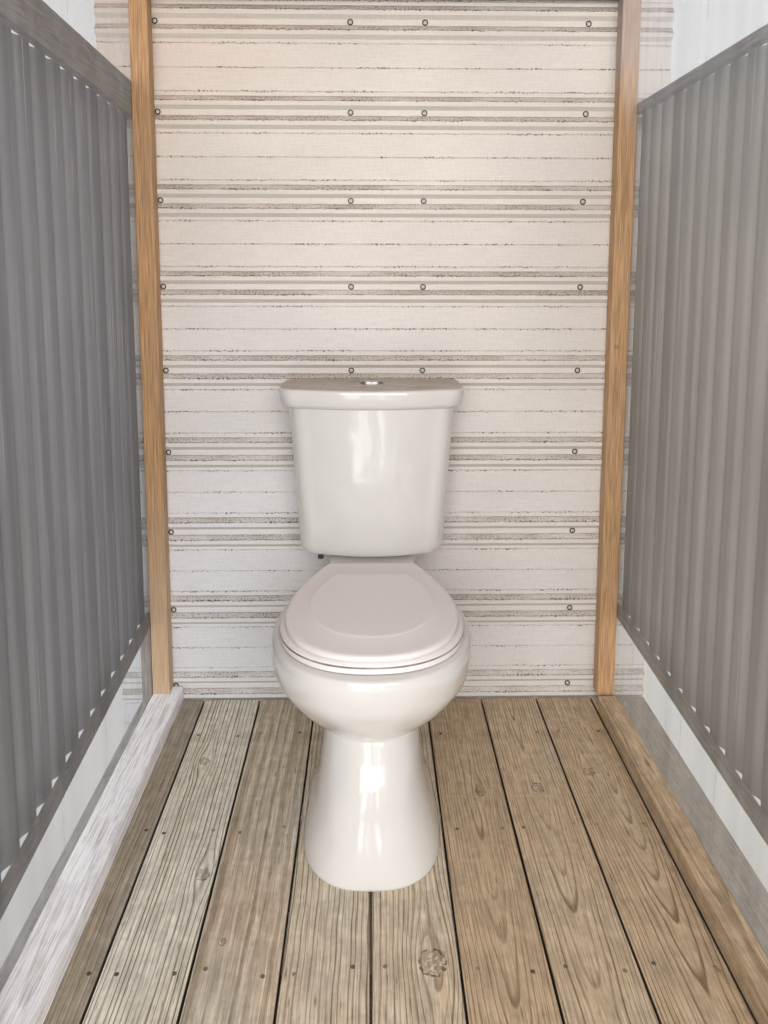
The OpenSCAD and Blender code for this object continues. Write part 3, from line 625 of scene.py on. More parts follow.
def seat_material():
    """Seat plastic under a thin film of dust that has been wiped in places, with painted shade and some
    grime along the lower edges of the lid and the ring.
    """
    look = bpy.context.scene.outhouse_toilet
    kit = Finish("white seat plastic")
    dust = kit.group("Settled dust", Amount=0.75, Slope=0.85)
    x, y, z = kit.split(kit.place())
    smear = kit.noise((x * 9, y * 5, 2), 1, 3, 0.6)
    film = dust["Dust"] * kit.fade(smear, 0.36, 0.55, 0.45, 1)
    body = kit.mix(film, look.seat, look.film)
    body = kit.mix(dust["Grit"] * 0.45, body, (0.25, 0.2, 0.16))
    body = kit.specked(body, 0.003, 0.2, (0.12, 0.1, 0.08))
    # Painted shade with some grime: a dark band just above the lower edge of the lid and of the ring, on
    # faces that don't look up.
    gap_shade_and_grime = 0.0
    for node in ("seat_lid", "seat_ring"):
        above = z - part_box(node)[0].z
        gap_shade_and_grime = kit.most(gap_shade_and_grime, kit.fade(above, 0.0024, 0.0012) * kit.fade(above, -0.002, -0.001))
    gap_shade_and_grime = gap_shade_and_grime * kit.fade(kit.facing()[2], 0.6, 0.4) * kit.fade(smear, 0.3, 0.6, 0.5, 0.95)
    body = kit.mix(gap_shade_and_grime, body, (0.16, 0.12, 0.1))
    return kit.set(Base_Color=body, Roughness=kit.fade(film, 0, 0.6, 0.22, 0.5))


def worn_material(name, tone, metallic, rough):
    """A small fitting's finish: an even tone with dull patches."""
    kit = Finish(name, metallic=metallic)
    dull = kit.noise(kit.place(), 90, 3, 0.6)
    kit.set(Base_Color=kit.shade(tone, kit.span(dull, 0.9, 1.1)))
    return kit.set(Roughness=kit.span(dull, rough, rough + 0.2))


def washer_material():
    """Dark sealing ring, painted cup and screw head: the attribute says which part a face belongs to."""
    kit = Finish("screw and washer")
    part = kit.attribute("part", "Fac")
    rust = kit.fade(kit.noise(kit.place(), 400, 2), 0.5, 0.65)
    cup = kit.mix(rust * 0.15, (0.8, 0.75, 0.68), (0.3, 0.2, 0.12))
    head = kit.mix(rust * 0.4, (0.6, 0.56, 0.52), (0.2, 0.13, 0.08))
    tone = kit.mix(kit.fade(part, 0.2, 0.4), (0.035, 0.03, 0.027), cup)
    tone = kit.mix(kit.fade(part, 0.7, 0.9), tone, head)
    return kit.set(Base_Color=tone, Roughness=kit.span(rust, 0.4, 0.75))


def nail_material():
    """Rusted steel, paler where it is worn."""
    kit = Finish("rusted nail head", specular=0.3)
    rust = kit.fade(kit.noise(kit.place(), 14, 3, 0.7), 0.35, 0.65)
    tone = kit.mix(rust, (0.09, 0.065, 0.05), (0.4, 0.31, 0.22))
    return kit.set(Base_Color=tone, Roughness=kit.span(rust, 0.6, 0.9))


# Meshes


def new_object(name, mesh, finish, smooth=True):
    """Links a mesh as an object at the origin, with its material."""
    mesh.name = name
    made = bpy.data.objects.new(name, mesh)
    bpy.context.scene.collection.objects.link(made)
    if finish is not None:
        mesh.materials.clear()
        mesh.materials.append(finish)
    if smooth:
        for face in mesh.polygons:
            face.use_smooth = True
    return made


def finished(piece, slot, body, *nodes):
    """Says what the piece rides on and which CAD nodes it stands for; its slot is not used."""
    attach(piece, body)
    if nodes:
        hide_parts(*nodes)
    return piece


def as_mesh(work):
    """Turns a bmesh into a mesh."""
    mesh = bpy.data.meshes.new("shape")
    work.to_mesh(mesh)
    work.free()
    return mesh


def take_in(work, mesh):
    """Adds a mesh to a bmesh and removes it."""
    work.from_mesh(mesh)
    bpy.data.meshes.remove(mesh)


def welded(node):
    """A copy of a CAD node's mesh with its points merged and its flat faces whole."""
    work = bmesh.new()
    work.from_mesh(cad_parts[node].data)
    bmesh.ops.remove_doubles(work, verts=work.verts, dist=1e-5)
    bmesh.ops.dissolve_limit(work, angle_limit=math.radians(1), verts=work.verts, edges=work.edges)
    return work


def islands(work):
    """Lists of the points that hang together."""
    work.verts.ensure_lookup_table()
    seen, found = set(), []
    for start in work.verts:
        if start in seen:
            continue
        stack, group = [start], []
        seen.add(start)
        while stack:
            point = stack.pop()
            group.append(point)
            for edge in point.link_edges:
                other = edge.other_vert(point)
                if other not in seen:
                    seen.add(other)
                    stack.append(other)
        found.append(group)
    return sorted(found, key=lambda g: (round(min(v.co.x for v in g), 4), round(min(v.co.y for v in g), 4)))


def ease_edges(work, width):
    """Rounds the sharp edges of boards."""
    sharp = [e for e in work.edges if len(e.link_faces) == 2 and e.calc_face_angle(0) > math.radians(25)]
    bmesh.ops.bevel(
        work, geom=sharp, offset=width, segments=2, profile=0.6, affect="EDGES", clamp_overlap=True
    )


def board_frame(points, tilt):
    """Centre of a board, the turn that lays it, its width, length and thickness, and its levelled points."""
    level = Matrix.Rotation(-tilt, 3, "X")
    co = np.array([level @ v.co for v in points])
    low, high = co.min(0), co.max(0)
    order = np.argsort(high - low)[[1, 2, 0]]
    return (low + high) / 2, np.eye(3)[order], (high - low)[order], co


# A distance at which a knot doesn't show
FAR = 90.0
# The vectors that each board carries beside its own place in the grain
TRAITS = ("cut", "taper", "look", "cast", "knot_a", "knot_b")


def cut_of(rng, width, depth, plain):
    """Where the pith lies beside a board, with the ring width, and how it runs off, with the softness."""
    if plain:
        cut = (
            rng.uniform(-0.3, 0.3) * width,
            -rng.uniform(0.6, 1.4) * max(depth, 0.03),
            rng.uniform(0.005, 0.008),
        )
        return cut, (rng.uniform(-0.01, 0.01), rng.uniform(-0.015, 0.015), rng.uniform(0.0, 0.3))
    cut = (
        rng.choice((-1, 1)) * rng.uniform(0.9, 1.6) * width,
        -rng.uniform(0.02, 0.06),
        rng.uniform(0.006, 0.009),
    )
    return cut, (0.0, 0.0, rng.uniform(0.0, 0.2))


def board_traits(rng, width, run, thick, traits):
    """The vectors that say how one board is cut and what it shows."""
    plain = rng.random() < 0.6
    cut, taper = cut_of(rng, width, thick, plain)
    look = (rng.uniform(0, 10), rng.uniform(0.1, 0.9), rng.uniform(0.01, 0.022))
    knots = []
    for _ in range(2):
        radius = rng.uniform(0.08, 0.14) * min(width, 0.14)
        there = rng.random() < 0.6
        across = rng.uniform(-0.35, 0.35) * width
        knots.append((across, rng.uniform(-0.45, 0.45) * run if there else FAR, radius))
    cast = (rng.uniform(0.92, 1.05), rng.uniform(0.0, 0.2), 0.0)
    return {**dict(zip(TRAITS, (cut, taper, look, cast, *knots))), **traits}


def timber_piece(name, nodes, slot, finish, tilt=0.0, traits=None, edge=None):
    """Boards with eased edges that stand for CAD nodes. Each board carries where it was cut from the log."""
    look = bpy.context.scene.outhouse_timber
    rng = random.Random(f"{look.seed} {name}")
    whole = bmesh.new()
    for node in nodes:
        part = welded(node)
        ease_edges(part, look.edge if edge is None else edge)
        take_in(whole, as_mesh(part))
    layers = {key: whole.verts.layers.float_vector.new(key) for key in ("grain", *TRAITS)}
    for index, points in enumerate(islands(whole)):
        centre, turn, size, co = board_frame(points, tilt)
        made = board_traits(rng, *size, traits(index) if traits else {})
        for point, spot in zip(points, (co - centre) @ turn.T):
            point[layers["grain"]] = spot
            for key, value in made.items():
                point[layers[key]] = value
    return finished(new_object(name, as_mesh(whole), finish, smooth=False), slot, STALL, *nodes)


def grown(name, tree, values, base=None):
    """Runs a Geometry Nodes tree on a base mesh and returns the plain mesh that it makes."""
    holder = bpy.data.objects.new(name, base or bpy.data.meshes.new(name))
    bpy.context.scene.collection.objects.link(holder)
    modifier = holder.modifiers.new("Grow", "NODES")
    modifier.node_group = tree
    for item in tree.interface.items_tree:
        if item.item_type == "SOCKET" and item.in_out == "INPUT" and item.name in values:
            modifier[item.identifier] = values[item.name]
    holder.update_tag()
    bpy.context.view_layer.update()
    seen = holder.evaluated_get(bpy.context.evaluated_depsgraph_get())
    mesh = bpy.data.meshes.new_from_object(seen)
    bpy.data.objects.remove(holder)
    return mesh


def geometry_tree(name, lengths, counts=()):
    """Starts a Geometry Nodes tree with named inputs, and returns its kit, inputs and output socket."""
    tree = bpy.data.node_groups.new(name, "GeometryNodeTree")
    kinds = {"Geometry": "Geometry", **dict.fromkeys(lengths, "Float"), **dict.fromkeys(counts, "Int")}
    for label, kind in {**kinds, "Material": "Material"}.items():
        tree.interface.new_socket(label, in_out="INPUT", socket_type="NodeSocket" + kind)
    tree.interface.new_socket("Geometry", in_out="OUTPUT", socket_type="NodeSocketGeometry")
    kit = Kit(tree)
    given = kit.values(kit.node("NodeGroupInput").outputs)
    return kit, given, kit.node("NodeGroupOutput").inputs["Geometry"]


def end_tree(kit, geometry, finish, out):
    """Every tree ends by making its instances real and setting their material."""
    real = kit.made("GeometryNodeRealizeInstances", {0: geometry})
    kit.put(out, kit.made("GeometryNodeSetMaterial", {"Geometry": real, "Material": finish}))
    return kit.tree


def fastener_tree():
    """Sealing ring, low cup and six-sided head at each point of the base mesh, turned its own way."""
    sizes = [f"{part} {size}" for part in ("Ring", "Cup", "Head") for size in ("Radius", "Height")]
    kit, given, out = geometry_tree("Fasteners", sizes)
    ring_r, ring_h, cup_r, cup_h, head_r, head_h = (given[size] for size in sizes)

    def cylinder(sides, radius, depth):
        inputs = {"Vertices": sides, "Radius": radius, "Depth": depth}
        return kit.made("GeometryNodeMeshCylinder", inputs, "Mesh")

    def raised(geometry, height):
        return kit.made("GeometryNodeTransform", {"Geometry": geometry, "Translation": (0, 0, height)})

    ring = cylinder(16, ring_r, ring_h)
    cone = {"Vertices": 16, "Radius Top": cup_r * 0.6, "Radius Bottom": cup_r, "Depth": cup_h}
    cup = raised(kit.made("GeometryNodeMeshCone", cone, "Mesh"), ring_h * 0.4)
    head = raised(cylinder(6, head_r, head_h), head_h * 0.5 + cup_h * 0.8)
    both = kit.node("GeometryNodeJoinGeometry")
    for geometry, value in ((ring, 0.0), (cup, 0.5), (head, 1.0)):
        marked = kit.node("GeometryNodeStoreNamedAttribute", data_type="FLOAT", domain="POINT")
        kit.fill(marked, Geometry=geometry, Name="part")
        kit.put(next(s for s in marked.inputs if s.name == "Value" and s.enabled), value)
        kit.put(both.inputs[0], Value(kit, marked.outputs[0]))
    turn = kit.made("GeometryNodeInputNamedAttribute", {"Name": "turn"}, data_type="FLOAT_VECTOR")
    inputs = {"Points": given["Geometry"], "Instance": Value(kit, both.outputs[0]), "Rotation": turn}
    return end_tree(kit, kit.made("GeometryNodeInstanceOnPoints", inputs), given["Material"], out)


def corrugated_tree():
    """A sheet whose ribs follow a cosine across its width, with both faces and its edges."""
    sizes = ("Width", "Length", "Pitch", "Trough", "Depth", "Thickness")
    kit, given, out = geometry_tree("Corrugated sheet", sizes, ("Steps",))
    width, run, pitch, trough, depth, thickness = (given[size] for size in sizes)
    across = width / pitch * given["Steps"] + 1
    inputs = {"Size X": width, "Size Y": run, "Vertices X": across, "Vertices Y": 13}
    grid = kit.made("GeometryNodeMeshGrid", inputs, "Mesh")
    x = kit.split(kit.made("GeometryNodeInputPosition"))[0] + width * 0.5
    swing = kit.math("COSINE", (x - trough) / pitch * math.tau)
    lift = (1 - swing) * (depth * 0.5)
    waved = kit.made("GeometryNodeSetPosition", {"Geometry": grid, "Offset": (0, 0, lift)})
    inputs = {"Mesh": waved, "Offset": kit.join(0, 0, 1), "Offset Scale": thickness, "Individual": False}
    shell = kit.made("GeometryNodeExtrudeMesh", inputs, "Mesh", mode="FACES")
    under = kit.made("GeometryNodeFlipFaces", {"Mesh": waved})
    both = kit.node("GeometryNodeJoinGeometry")
    for geometry in (shell, under):
        kit.put(both.inputs[0], geometry)
    merged = {"Geometry": Value(kit, both.outputs[0]), "Distance": 1e-5}
    return end_tree(kit, kit.made("GeometryNodeMergeByDistance", merged), given["Material"], out)


def fasteners(name, places, slot, finish, ring, cup, head, tree):
    """Screws or nails at points, each with the way it looks; each of its parts has a radius and a height."""
    base = bpy.data.meshes.new(name + ".points")
    base.from_pydata([p for p, _ in places], [], [])
    turn = base.attributes.new("turn", "FLOAT_VECTOR", "POINT")
    for index, (_, way) in enumerate(places):
        turn.data[index].vector = Vector(way).to_track_quat("Z", "Y").to_euler()
    values = {"Material": finish}
    for part, sizes in (("Ring", ring), ("Cup", cup), ("Head", head)):
        values[part + " Radius"], values[part + " Height"] = sizes
    mesh = grown(name, tree, values, base)
    return finished(new_object(name, mesh, None, smooth=False), slot, STALL)


# Operators


class OUTHOUSE_OT_effects(bpy.types.Operator):
    """Build the shader groups that the materials share"""

    bl_idname = "outhouse.effects"
    bl_label = "Shared effects"

    def execute(self, context):
        timber_group()
        dirt_group()
        dust_group()
        return {"FINISHED"}


# How the deck boards that show are cut, from the left: across and depth of the pith with the ring width;
# its run along the board with the softness of the lines; seed, tone and wander; brightness and coolness
DECK_CUTS = {
    0: ((0.10, -0.05, 0.008), (0.0, 0.0, 0.3), (1.3, 0.55, 0.008), (0.74, 0.35, 0.0)),
    1: ((0.115, -0.03, 0.0084), (0.0, 0.0, 0.0), (2.1, 0.0, 0.008), (1.12, 0.1, 0.0)),
    2: ((-0.14, -0.03, 0.02), (0.01, 0.0, 0.8), (3.7, 0.55, 0.02), (1.18, 0.35, 0.0)),
    3: ((0.15, -0.04, 0.0094), (0.0, 0.0, 0.0), (4.4, 0.45, 0.02), (1.03, 0.0, 0.0)),
    4: ((-0.12, -0.03, 0.0094), (0.0, 0.0, 0.0), (5.2, 0.5, 0.022), (1.05, 0.0, 0.0)),
    5: ((0.004, -0.032, 0.0066), (0.0, 0.05, 0.1), (6.9, 0.85, 0.016), (1.05, 0.1, 0.0)),
    6: ((-0.006, -0.034, 0.0064), (0.003, 0.052, 0.08), (7.7, 0.75, 0.016), (1.1, 0.1, 0.0)),
    7: ((0.024, -0.03, 0.0064), (-0.008, 0.048, 0.1), (8.8, 0.8, 0.016), (1.05, 0.1, 0.0)),
    8: ((0.12, -0.03, 0.008), (0.0, 0.0, 0.0), (9.4, 0.6, 0.008), (1.0, 0.0, 0.0)),
}
# Knots that show in the deck: board, distance from the stall's middle and from the siding, radius
DECK_KNOTS = (
    (4, 0.064, 0.763, 0.021),
    (5, 0.198, 0.360, 0.011),
    (6, 0.324, 0.350, 0.013),
    (7, 0.446, 0.299, 0.013),
    (1, -0.343, 0.577, 0.012),
    (1, -0.41, 0.25, 0.011),
    (2, -0.28, 0.72, 0.006),
)


def deck_traits(index):
    """How one deck board is cut, and the knots that show in it."""
    made = dict(zip(("cut", "taper", "look", "cast"), DECK_CUTS.get(index, DECK_CUTS[3])))
    low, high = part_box("deck_boards")
    middle_y = (low.y + high.y) / 2
    centre = deck_centres()[index]
    own = [k for k in DECK_KNOTS if k[0] == index]
    for key, knot in zip(("knot_a", "knot_b"), own + [(index, 0, FAR, 0.01)] * 2):
        made[key] = (knot[1] - centre, WALL_Y - knot[2] - middle_y, knot[3])
    return made


def deck_centres():
    """Middle of each deck board across the stall."""
    work = welded("deck_boards")
    found = [(min(v.co.x for v in g) + max(v.co.x for v in g)) / 2 for g in islands(work)]
    work.free()
    return found


class OUTHOUSE_OT_deck(bpy.types.Operator):
    """Make the weathered deck boards, the floor plate and the batten"""

    bl_idname = "outhouse.deck"
    bl_label = "Deck"

    def execute(self, context):
        deck, old = deck_material(), timber_material("old")[0].material
        batten = {"look": (12.3, 0.9, 0.01), "cast": (0.93, 0.0, 0.0)}
        plate = {"look": (14.1, 0.25, 0.012), "cast": (1.25, 0.3, 0.0), "knot_a": (0.0, FAR, 0.01)}
        for name, slot, finish, nodes, options in (
            ("deck_boards", "deck_wood", deck, ["deck_boards"], {"traits": deck_traits, "edge": 0.004}),
            ("floor_batten", "deck_wood", deck, ["right_floor_batten"], {"traits": lambda index: batten}),
            (
                "floor_plate",
                "old_wood",
                timber_material("plate")[0].material,
                ["left_floor_plate"],
                {"traits": lambda index: plate},
            ),
            ("rim_beams", "old_wood", old, ["left_rim_beam", "right_rim_beam"], {}),
            ("sill", "old_wood", old, ["right_sill"], {}),
            ("joists", "old_wood", old, ["joists"], {"edge": 0.002}),
            ("legs", "old_wood", old, ["legs"], {}),
        ):
            timber_piece(name + "_weathered", nodes, slot, finish, **options)
        return {"FINISHED"}


def roof_slope():
    """Angle at which the roof falls towards the back, from the tops of its two headers."""
    front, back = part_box("front_header")[1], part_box("back_header")[1]
    return math.atan2(front.z - back.z, back.y - front.y)


class OUTHOUSE_OT_frame(bpy.types.Operator):
    """Make the posts, headers, rails, studs, rafters and boards of the frame"""

    bl_idname = "outhouse.frame"
    bl_label = "Timber frame"

    def execute(self, context):
        old = bpy.data.materials["grey framing timber"]
        pine = pine_material()
        slope = roof_slope()
        for side in ("left", "right"):
            for place in ("back", "mid", "front"):
                timber_piece(f"{side}_{place}_post_pine", [f"{side}_{place}_post"], "new_pine", pine)
            for place in ("bottom", "top"):
                rail = f"{side}_{place}_rail"
                timber_piece(rail + "_old", [rail], "old_wood", old, edge=0.002)
        timber_piece("rail_blocks_old", ["left_rail_blocks"], "old_wood", old)
        timber_piece("headers_old", ["back_header", "front_header"], "old_wood", old)
        timber_piece("wall_studs_old", ["wall_studs"], "old_wood", old)
        timber_piece("fascias_old", ["front_fascia", "back_fascia"], "old_wood", old)
        timber_piece("rafters_pine", ["rafters"], "new_pine", pine, tilt=-slope, edge=0.0015)
        timber_piece("roof_boarding_pine", ["roof_boarding"], "new_pine", pine, tilt=-slope, edge=0.0015)
        timber_piece("skirt_board_grey", ["skirt_board"], "grey_wood", timber_material("grey")[0].material)
        return {"FINISHED"}


# The siding's bands: from one pair of ribs to the next, and the top of the lowest upper ledge
BAND_PITCH = 0.2049
BAND_TOP = DECK_Z + 0.0728
# Distances below that top: both ledges, their height, the undersides behind each, and the fine lines
LEDGES = (0.0, 0.045)
LEDGE_H = 0.0118
UNDER = (0.0228, 0.0318)
FINE_LINES = (0.0858, 0.1409, 0.1947)
# The screws: distance below that top, places across, rows, and heights of ring, cup and head
SCREW_DROP = 0.038
SCREW_X = (-0.537, -0.083, 0.092, 0.476)
SCREW_ROWS = 9
SCREW_HEIGHTS = (0.002, 0.0022, 0.003)
# Depth of the flats behind the posts' back faces
RECESS = 0.008
# Painted highlights on the screens, thin pale broken lines of glint: distance from the siding halfway up,
# lean and half width
GLINT_LINES = (
    (0.134, -0.03, 0.0012),
    (0.183, -0.01, 0.0014),
    (0.235, -0.02, 0.0014),
    (0.353, -0.01, 0.0012),
    (0.41, -0.03, 0.0011),
    (0.62, 0.02, 0.0012),
)


class OUTHOUSE_OT_siding(bpy.types.Operator):
    """Finish the ribbed siding and set its screws"""

    bl_idname = "outhouse.siding"
    bl_label = "Siding"

    def execute(self, context):
        look = context.scene.outhouse_siding
        dress("back_siding", siding_material())
        heights = [BAND_TOP + row * BAND_PITCH - SCREW_DROP for row in range(SCREW_ROWS)]
        places = [((x, WALL_Y + RECESS, z), (0, -1, 0)) for z in heights for x in SCREW_X]
        sizes = zip((look.washer, look.dome, look.head), SCREW_HEIGHTS)
        fasteners("siding_screws", places, "siding", washer_material(), *sizes, fastener_tree())
        return {"FINISHED"}


# How far the roof sheet hangs over the boarding at each end
ROOF_OVERHANG = 0.019


class OUTHOUSE_OT_sheets(bpy.types.Operator):
    """Make the corrugated side sheets and the roof sheet"""

    bl_idname = "outhouse.sheets"
    bl_label = "Corrugated sheets"

    def execute(self, context):
        look = context.scene.outhouse_sheets
        tree = corrugated_tree()
        common = {"Pitch": look.pitch, "Depth": look.depth, "Thickness": look.thickness, "Steps": look.steps}
        common["Material"] = sheet_material("faded taupe sheet")
        for side, sign in SIDES:
            node = f"{side}_side_sheet"
            low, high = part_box(node)
            size = high.y - low.y
            trough = (size - look.start) % look.pitch + look.pitch / 2
            mesh = grown("wave", tree, {"Width": size, "Length": 1.0, "Trough": trough, **common})
            inner = min(abs(low.x), abs(high.x))
            front, back = end_heights(node)
            for point in mesh.vertices:
                across, along, lift = point.co
                bottom, top = front + (back - front) * (across / size + 0.5)
                upright = bottom + (top - bottom) * (along + 0.5)
                point.co = (sign * (inner + lift), low.y + across + size / 2, upright)
            if sign < 0:
                mesh.flip_normals()
            finished(new_object(node + "_waved", mesh, None), "side_sheet", STALL, node)
        low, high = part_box("roof_sheet")
        below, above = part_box("roof_boarding")
        slope = roof_slope()
        reach = above.y - below.y
        ribs = round((high.x - low.x) / look.pitch)
        run = (reach + 2 * ROOF_OVERHANG) / math.cos(slope)
        common["Material"] = sheet_material("faded roof sheet", roof=True)
        mesh = grown("wave", tree, {"Width": ribs * look.pitch, "Length": run, "Trough": 0.0, **common})
        middle = (below + above) / 2
        middle.z += (above.z - below.z - reach * math.tan(slope)) / 2
        mesh.transform(Matrix.Translation(middle) @ Matrix.Rotation(-slope, 4, "X"))
        finished(new_object("roof_sheet_waved", mesh, None), "side_sheet", STALL, "roof_sheet")
        return {"FINISHED"}


def end_heights(node):
    """Lowest and highest point of a side's CAD piece at its front end and at its back end."""
    co = np.array([v.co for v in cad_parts[node].data.vertices])
    ends = (co[abs(co[:, 1] - end) < 0.002][:, 2] for end in (co[:, 1].min(), co[:, 1].max()))
    return [np.array((z.min(), z.max())) for z in ends]


# Faces of a screen along and up it, and how far its top stays below the back header's
SCREEN_GRID = (150, 120)
SCREEN_DROP = 0.012


class OUTHOUSE_OT_screens(bpy.types.Operator):
    """Hang the insect screens, with their folds near the back corners"""

    bl_idname = "outhouse.screens"
    bl_label = "Insect screens"

    def execute(self, context):
        look = context.scene.outhouse_screens
        finish = screen_material()
        columns, rows = SCREEN_GRID
        for side, sign in SIDES:
            node = f"{side}_screen"
            low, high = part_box(node)
            front_top, back_top = high.z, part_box("back_header")[1].z - SCREEN_DROP
            plane = abs(low.x + high.x) / 2
            width = high.y - low.y
            co = []
            for i in range(columns + 1):
                y = low.y + width * i / columns
                top = front_top + (back_top - front_top) * i / columns
                for j in range(rows + 1):
                    z = low.z + (top - low.z) * j / rows
                    slack = slackness(high.y - y, z - low.z, sign) * look.pleat
                    co.append((sign * (plane - slack), y, z))
            corners = [i * (rows + 1) + j for i in range(columns) for j in range(rows)]
            quads = [[a, a + rows + 1, a + rows + 2, a + 1][::-sign] for a in corners]
            mesh = bpy.data.meshes.new(node)
            mesh.from_pydata(co, [], quads)
            layer = mesh.uv_layers.new(name="cloth")
            for loop in mesh.loops:
                layer.data[loop.index].uv = co[loop.vertex_index][1:]
            piece = finished(new_object(f"{side}_screen_cloth", mesh, finish), "screen", STALL, node)
        return {"FINISHED"}


# Folds near the back corner: distance from the siding, lean, width and height
FOLDS = (
    (0.037, 0.38, 0.005, 1.0),
    (0.081, 0.38, 0.005, 1.0),
    (0.143, 0.4, 0.007, 1.0),
    (0.36, 0.2, 0.012, 0.4),
)


def slackness(from_wall, up, sign):
    """How far a screen stands off its plane: folds that run down from the upper back corner."""

    def fold(centre, wide):
        return math.exp(-(((from_wall - centre) / wide) ** 2))

    def within(value):
        return min(1.0, max(0.0, value))

    total = 0.0
    for at, lean, wide, tall in FOLDS:
        tall = 0.5 if sign > 0 and tall == 1.0 else tall
        bend = lean * 0.25 * (1 - math.exp(min(3.0, (up - 1.7) / 0.25))) + 0.004 * math.sin(5 * up + at * 40)
        total += tall * fold(at + bend, wide)
    if sign > 0:
        total += fold(0.09 + 0.8 * (0.218 - up), 0.006) * within((0.45 - up) / 0.15)
    return total * min(1.0, from_wall / 0.03) * min(1.0, up / 0.03) * within((2.04 - up) / 0.1)


def eased_rows(rows, count):
    """Rows of numbers drawn through the given ones on a smooth curve."""
    rows = np.array(rows, float)
    padded = np.vstack([2 * rows[0] - rows[1], rows, 2 * rows[-1] - rows[-2]])
    out = []
    for t in np.linspace(0, len(rows) - 1, count):
        k = min(int(t), len(rows) - 2)
        f = t - k
        a, b, c, d = padded[k : k + 4]
        curve = 2 * b + (c - a) * f + (2 * a - 5 * b + 4 * c - d) * f * f + (3 * b - a - 3 * c + d) * f**3
        out.append(0.5 * curve)
    return out


def at_toilet(x, y, z):
    """A point in millimetres across from the toilet's middle, out from the siding, up from the deck."""
    return TOILET_X + MM * x, WALL_Y - MM * y, DECK_Z + MM * z


def egg_ring(z, back, front, half, blunt, widest, count):
    """Egg-shaped ring at a height of the bowl."""
    mid = back + (front - back) * widest
    ring = []
    for i in range(count):
        c, s = math.cos(math.tau * i / count), math.sin(math.tau * i / count)
        reach = mid - back if s > 0 else front - mid
        x = half * math.copysign(abs(c) ** (2 / blunt), c)
        ring.append(at_toilet(x, mid - reach * math.copysign(abs(s) ** (2 / blunt), s), z))
    return ring


def skin(rings, closed=False):
    """Mesh through rings of one count: back to its first ring if closed, or else with two caps."""
    work = bmesh.new()
    rings = [[work.verts.new(p) for p in ring] for ring in rings]
    pairs = list(zip(rings, rings[1:]))
    if closed:
        pairs.append((rings[-1], rings[0]))
    for low, high in pairs:
        for i in range(len(low)):
            work.faces.new((low[i - 1], low[i], high[i], high[i - 1]))
    if not closed:
        work.faces.new(rings[0][::-1])
        work.faces.new(rings[-1])
    bmesh.ops.recalc_face_normals(work, faces=work.faces)
    return as_mesh(work)


def auto_smooth(piece, angle):
    """Keeps edges sharper than an angle sharp in the shading."""
    work = bmesh.new()
    work.from_mesh(piece.data)
    for edge in work.edges:
        if len(edge.link_faces) == 2 and edge.calc_face_angle(0) > math.radians(angle):
            edge.smooth = False
    work.to_mesh(piece.data)
    work.free()
    return piece


# The lid's hinge: distance from the siding, height above the deck; its two knuckles with their bores
HINGE_Y = 230.0
HINGE_Z = 439.0
KNUCKLE_X = 70.0
KNUCKLE_W = 26.0
KNUCKLE_R = 7.0
BORE_R = 4.12
# Outlines seen from above: back, widest place, front, half width there and half width of the back
SEAT_EDGE = (242, 465, 641, 174.5, 110)
SEAT_HOLE = (304, 445, 579, 112.5, 58)
LID_EDGE = (216, 455, 638, 165.5, 98)
LID_PANEL = (280, 418, 572, 124, 80)
# Their back corners, and the power that makes the nose fuller than an ellipse
SEAT_CORNER = 5.0
NOSE = 0.89
# Height and inset from the outline through the seat ring, and over the lid's underside its edge and panel
SEAT_ROWS = ((419, 2.5), (421, 0.5), (424, 0), (432, 0), (435.5, 1), (437.8, 3), (439, 7))
LID_UNDER = 439.6
LID_ROWS = (
    *((0, 3), (0.8, 1.5), (2.2, 0.4), (4.5, 0), (7.5, 0.2)),
    *((9.6, 1.2), (11.0, 3.2), (11.8, 6.5), (12.1, 12)),
)
PANEL_ROWS = ((12.25, 0), (12.7, 1.2), (13.4, 3.2), (13.9, 6.5), (14.0, 12))
# Outer rings of the bowl, from the floor up: height, back, front, half width, bluntness, widest place
BOWL_OUTER = (
    (0, 200, 620, 131, 2.6, 0.6),
    (2, 200, 623, 133.5, 2.6, 0.6),
    (12, 200, 624, 134, 2.6, 0.6),
    (50, 200, 613, 124.5, 2.57, 0.6),
    (100, 200, 597, 110, 2.5, 0.6),
    (150, 205, 582, 100, 2.4, 0.6),
    (200, 221, 560, 94.5, 2.3, 0.6),
    (230, 221, 549, 94.5, 2.25, 0.6),
    (238, 221, 547, 95.5, 2.2, 0.6),
    (244, 219, 554, 104, 2.2, 0.59),
    (253, 216, 569, 116, 2.15, 0.58),
    (270, 210, 590, 134, 2.1, 0.57),
    (300, 200, 620, 160, 2.1, 0.56),
    (340, 200, 648, 183, 2.1, 0.56),
    (375, 200, 659, 191, 2.1, 0.56),
    (397, 200, 662, 192, 2.1, 0.56),
    (410, 200, 660.5, 190.5, 2.1, 0.56),
    (416, 201, 657, 187, 2.1, 0.56),
    (419, 204, 650, 180, 2.1, 0.56),
)
# Inner rings, from the rim down into the bowl
BOWL_INNER = (
    (419, 290, 622, 150, 2, 0.54),
    (415, 294, 617, 147, 2, 0.54),
    (389, 299, 618, 148, 2, 0.54),
    (350, 312, 606, 132, 2, 0.53),
    (310, 330, 590, 106, 2, 0.52),
    (270, 354, 552, 78, 2, 0.5),
    (240, 374, 522, 58, 2, 0.5),
    (212, 395, 490, 38, 2, 0.5),
)
# Shelf behind the bowl that carries the tank
SHELF = (
    (240, 130, 310, 60, 3, 0.5),
    (280, 92, 306, 78, 3.3, 0.5),
    (320, 70, 300, 88, 3.5, 0.5),
    (379, 45, 288, 99, 4, 0.5),
    (410, 42, 282, 103, 4, 0.5),
    (417.6, 44, 281, 101, 4, 0.5),
    (418.9, 47, 279, 99, 4, 0.5),
    (419.1, 48, 208, 99, 4, 0.5),
    (424, 48, 206.5, 99, 4, 0.5),
    (430, 48, 206, 99, 4, 0.5),
    (437, 49, 204, 98, 4, 0.5),
    (440, 51, 201, 95.5, 4, 0.5),
    (441, 56, 195, 90, 4, 0.5),
)
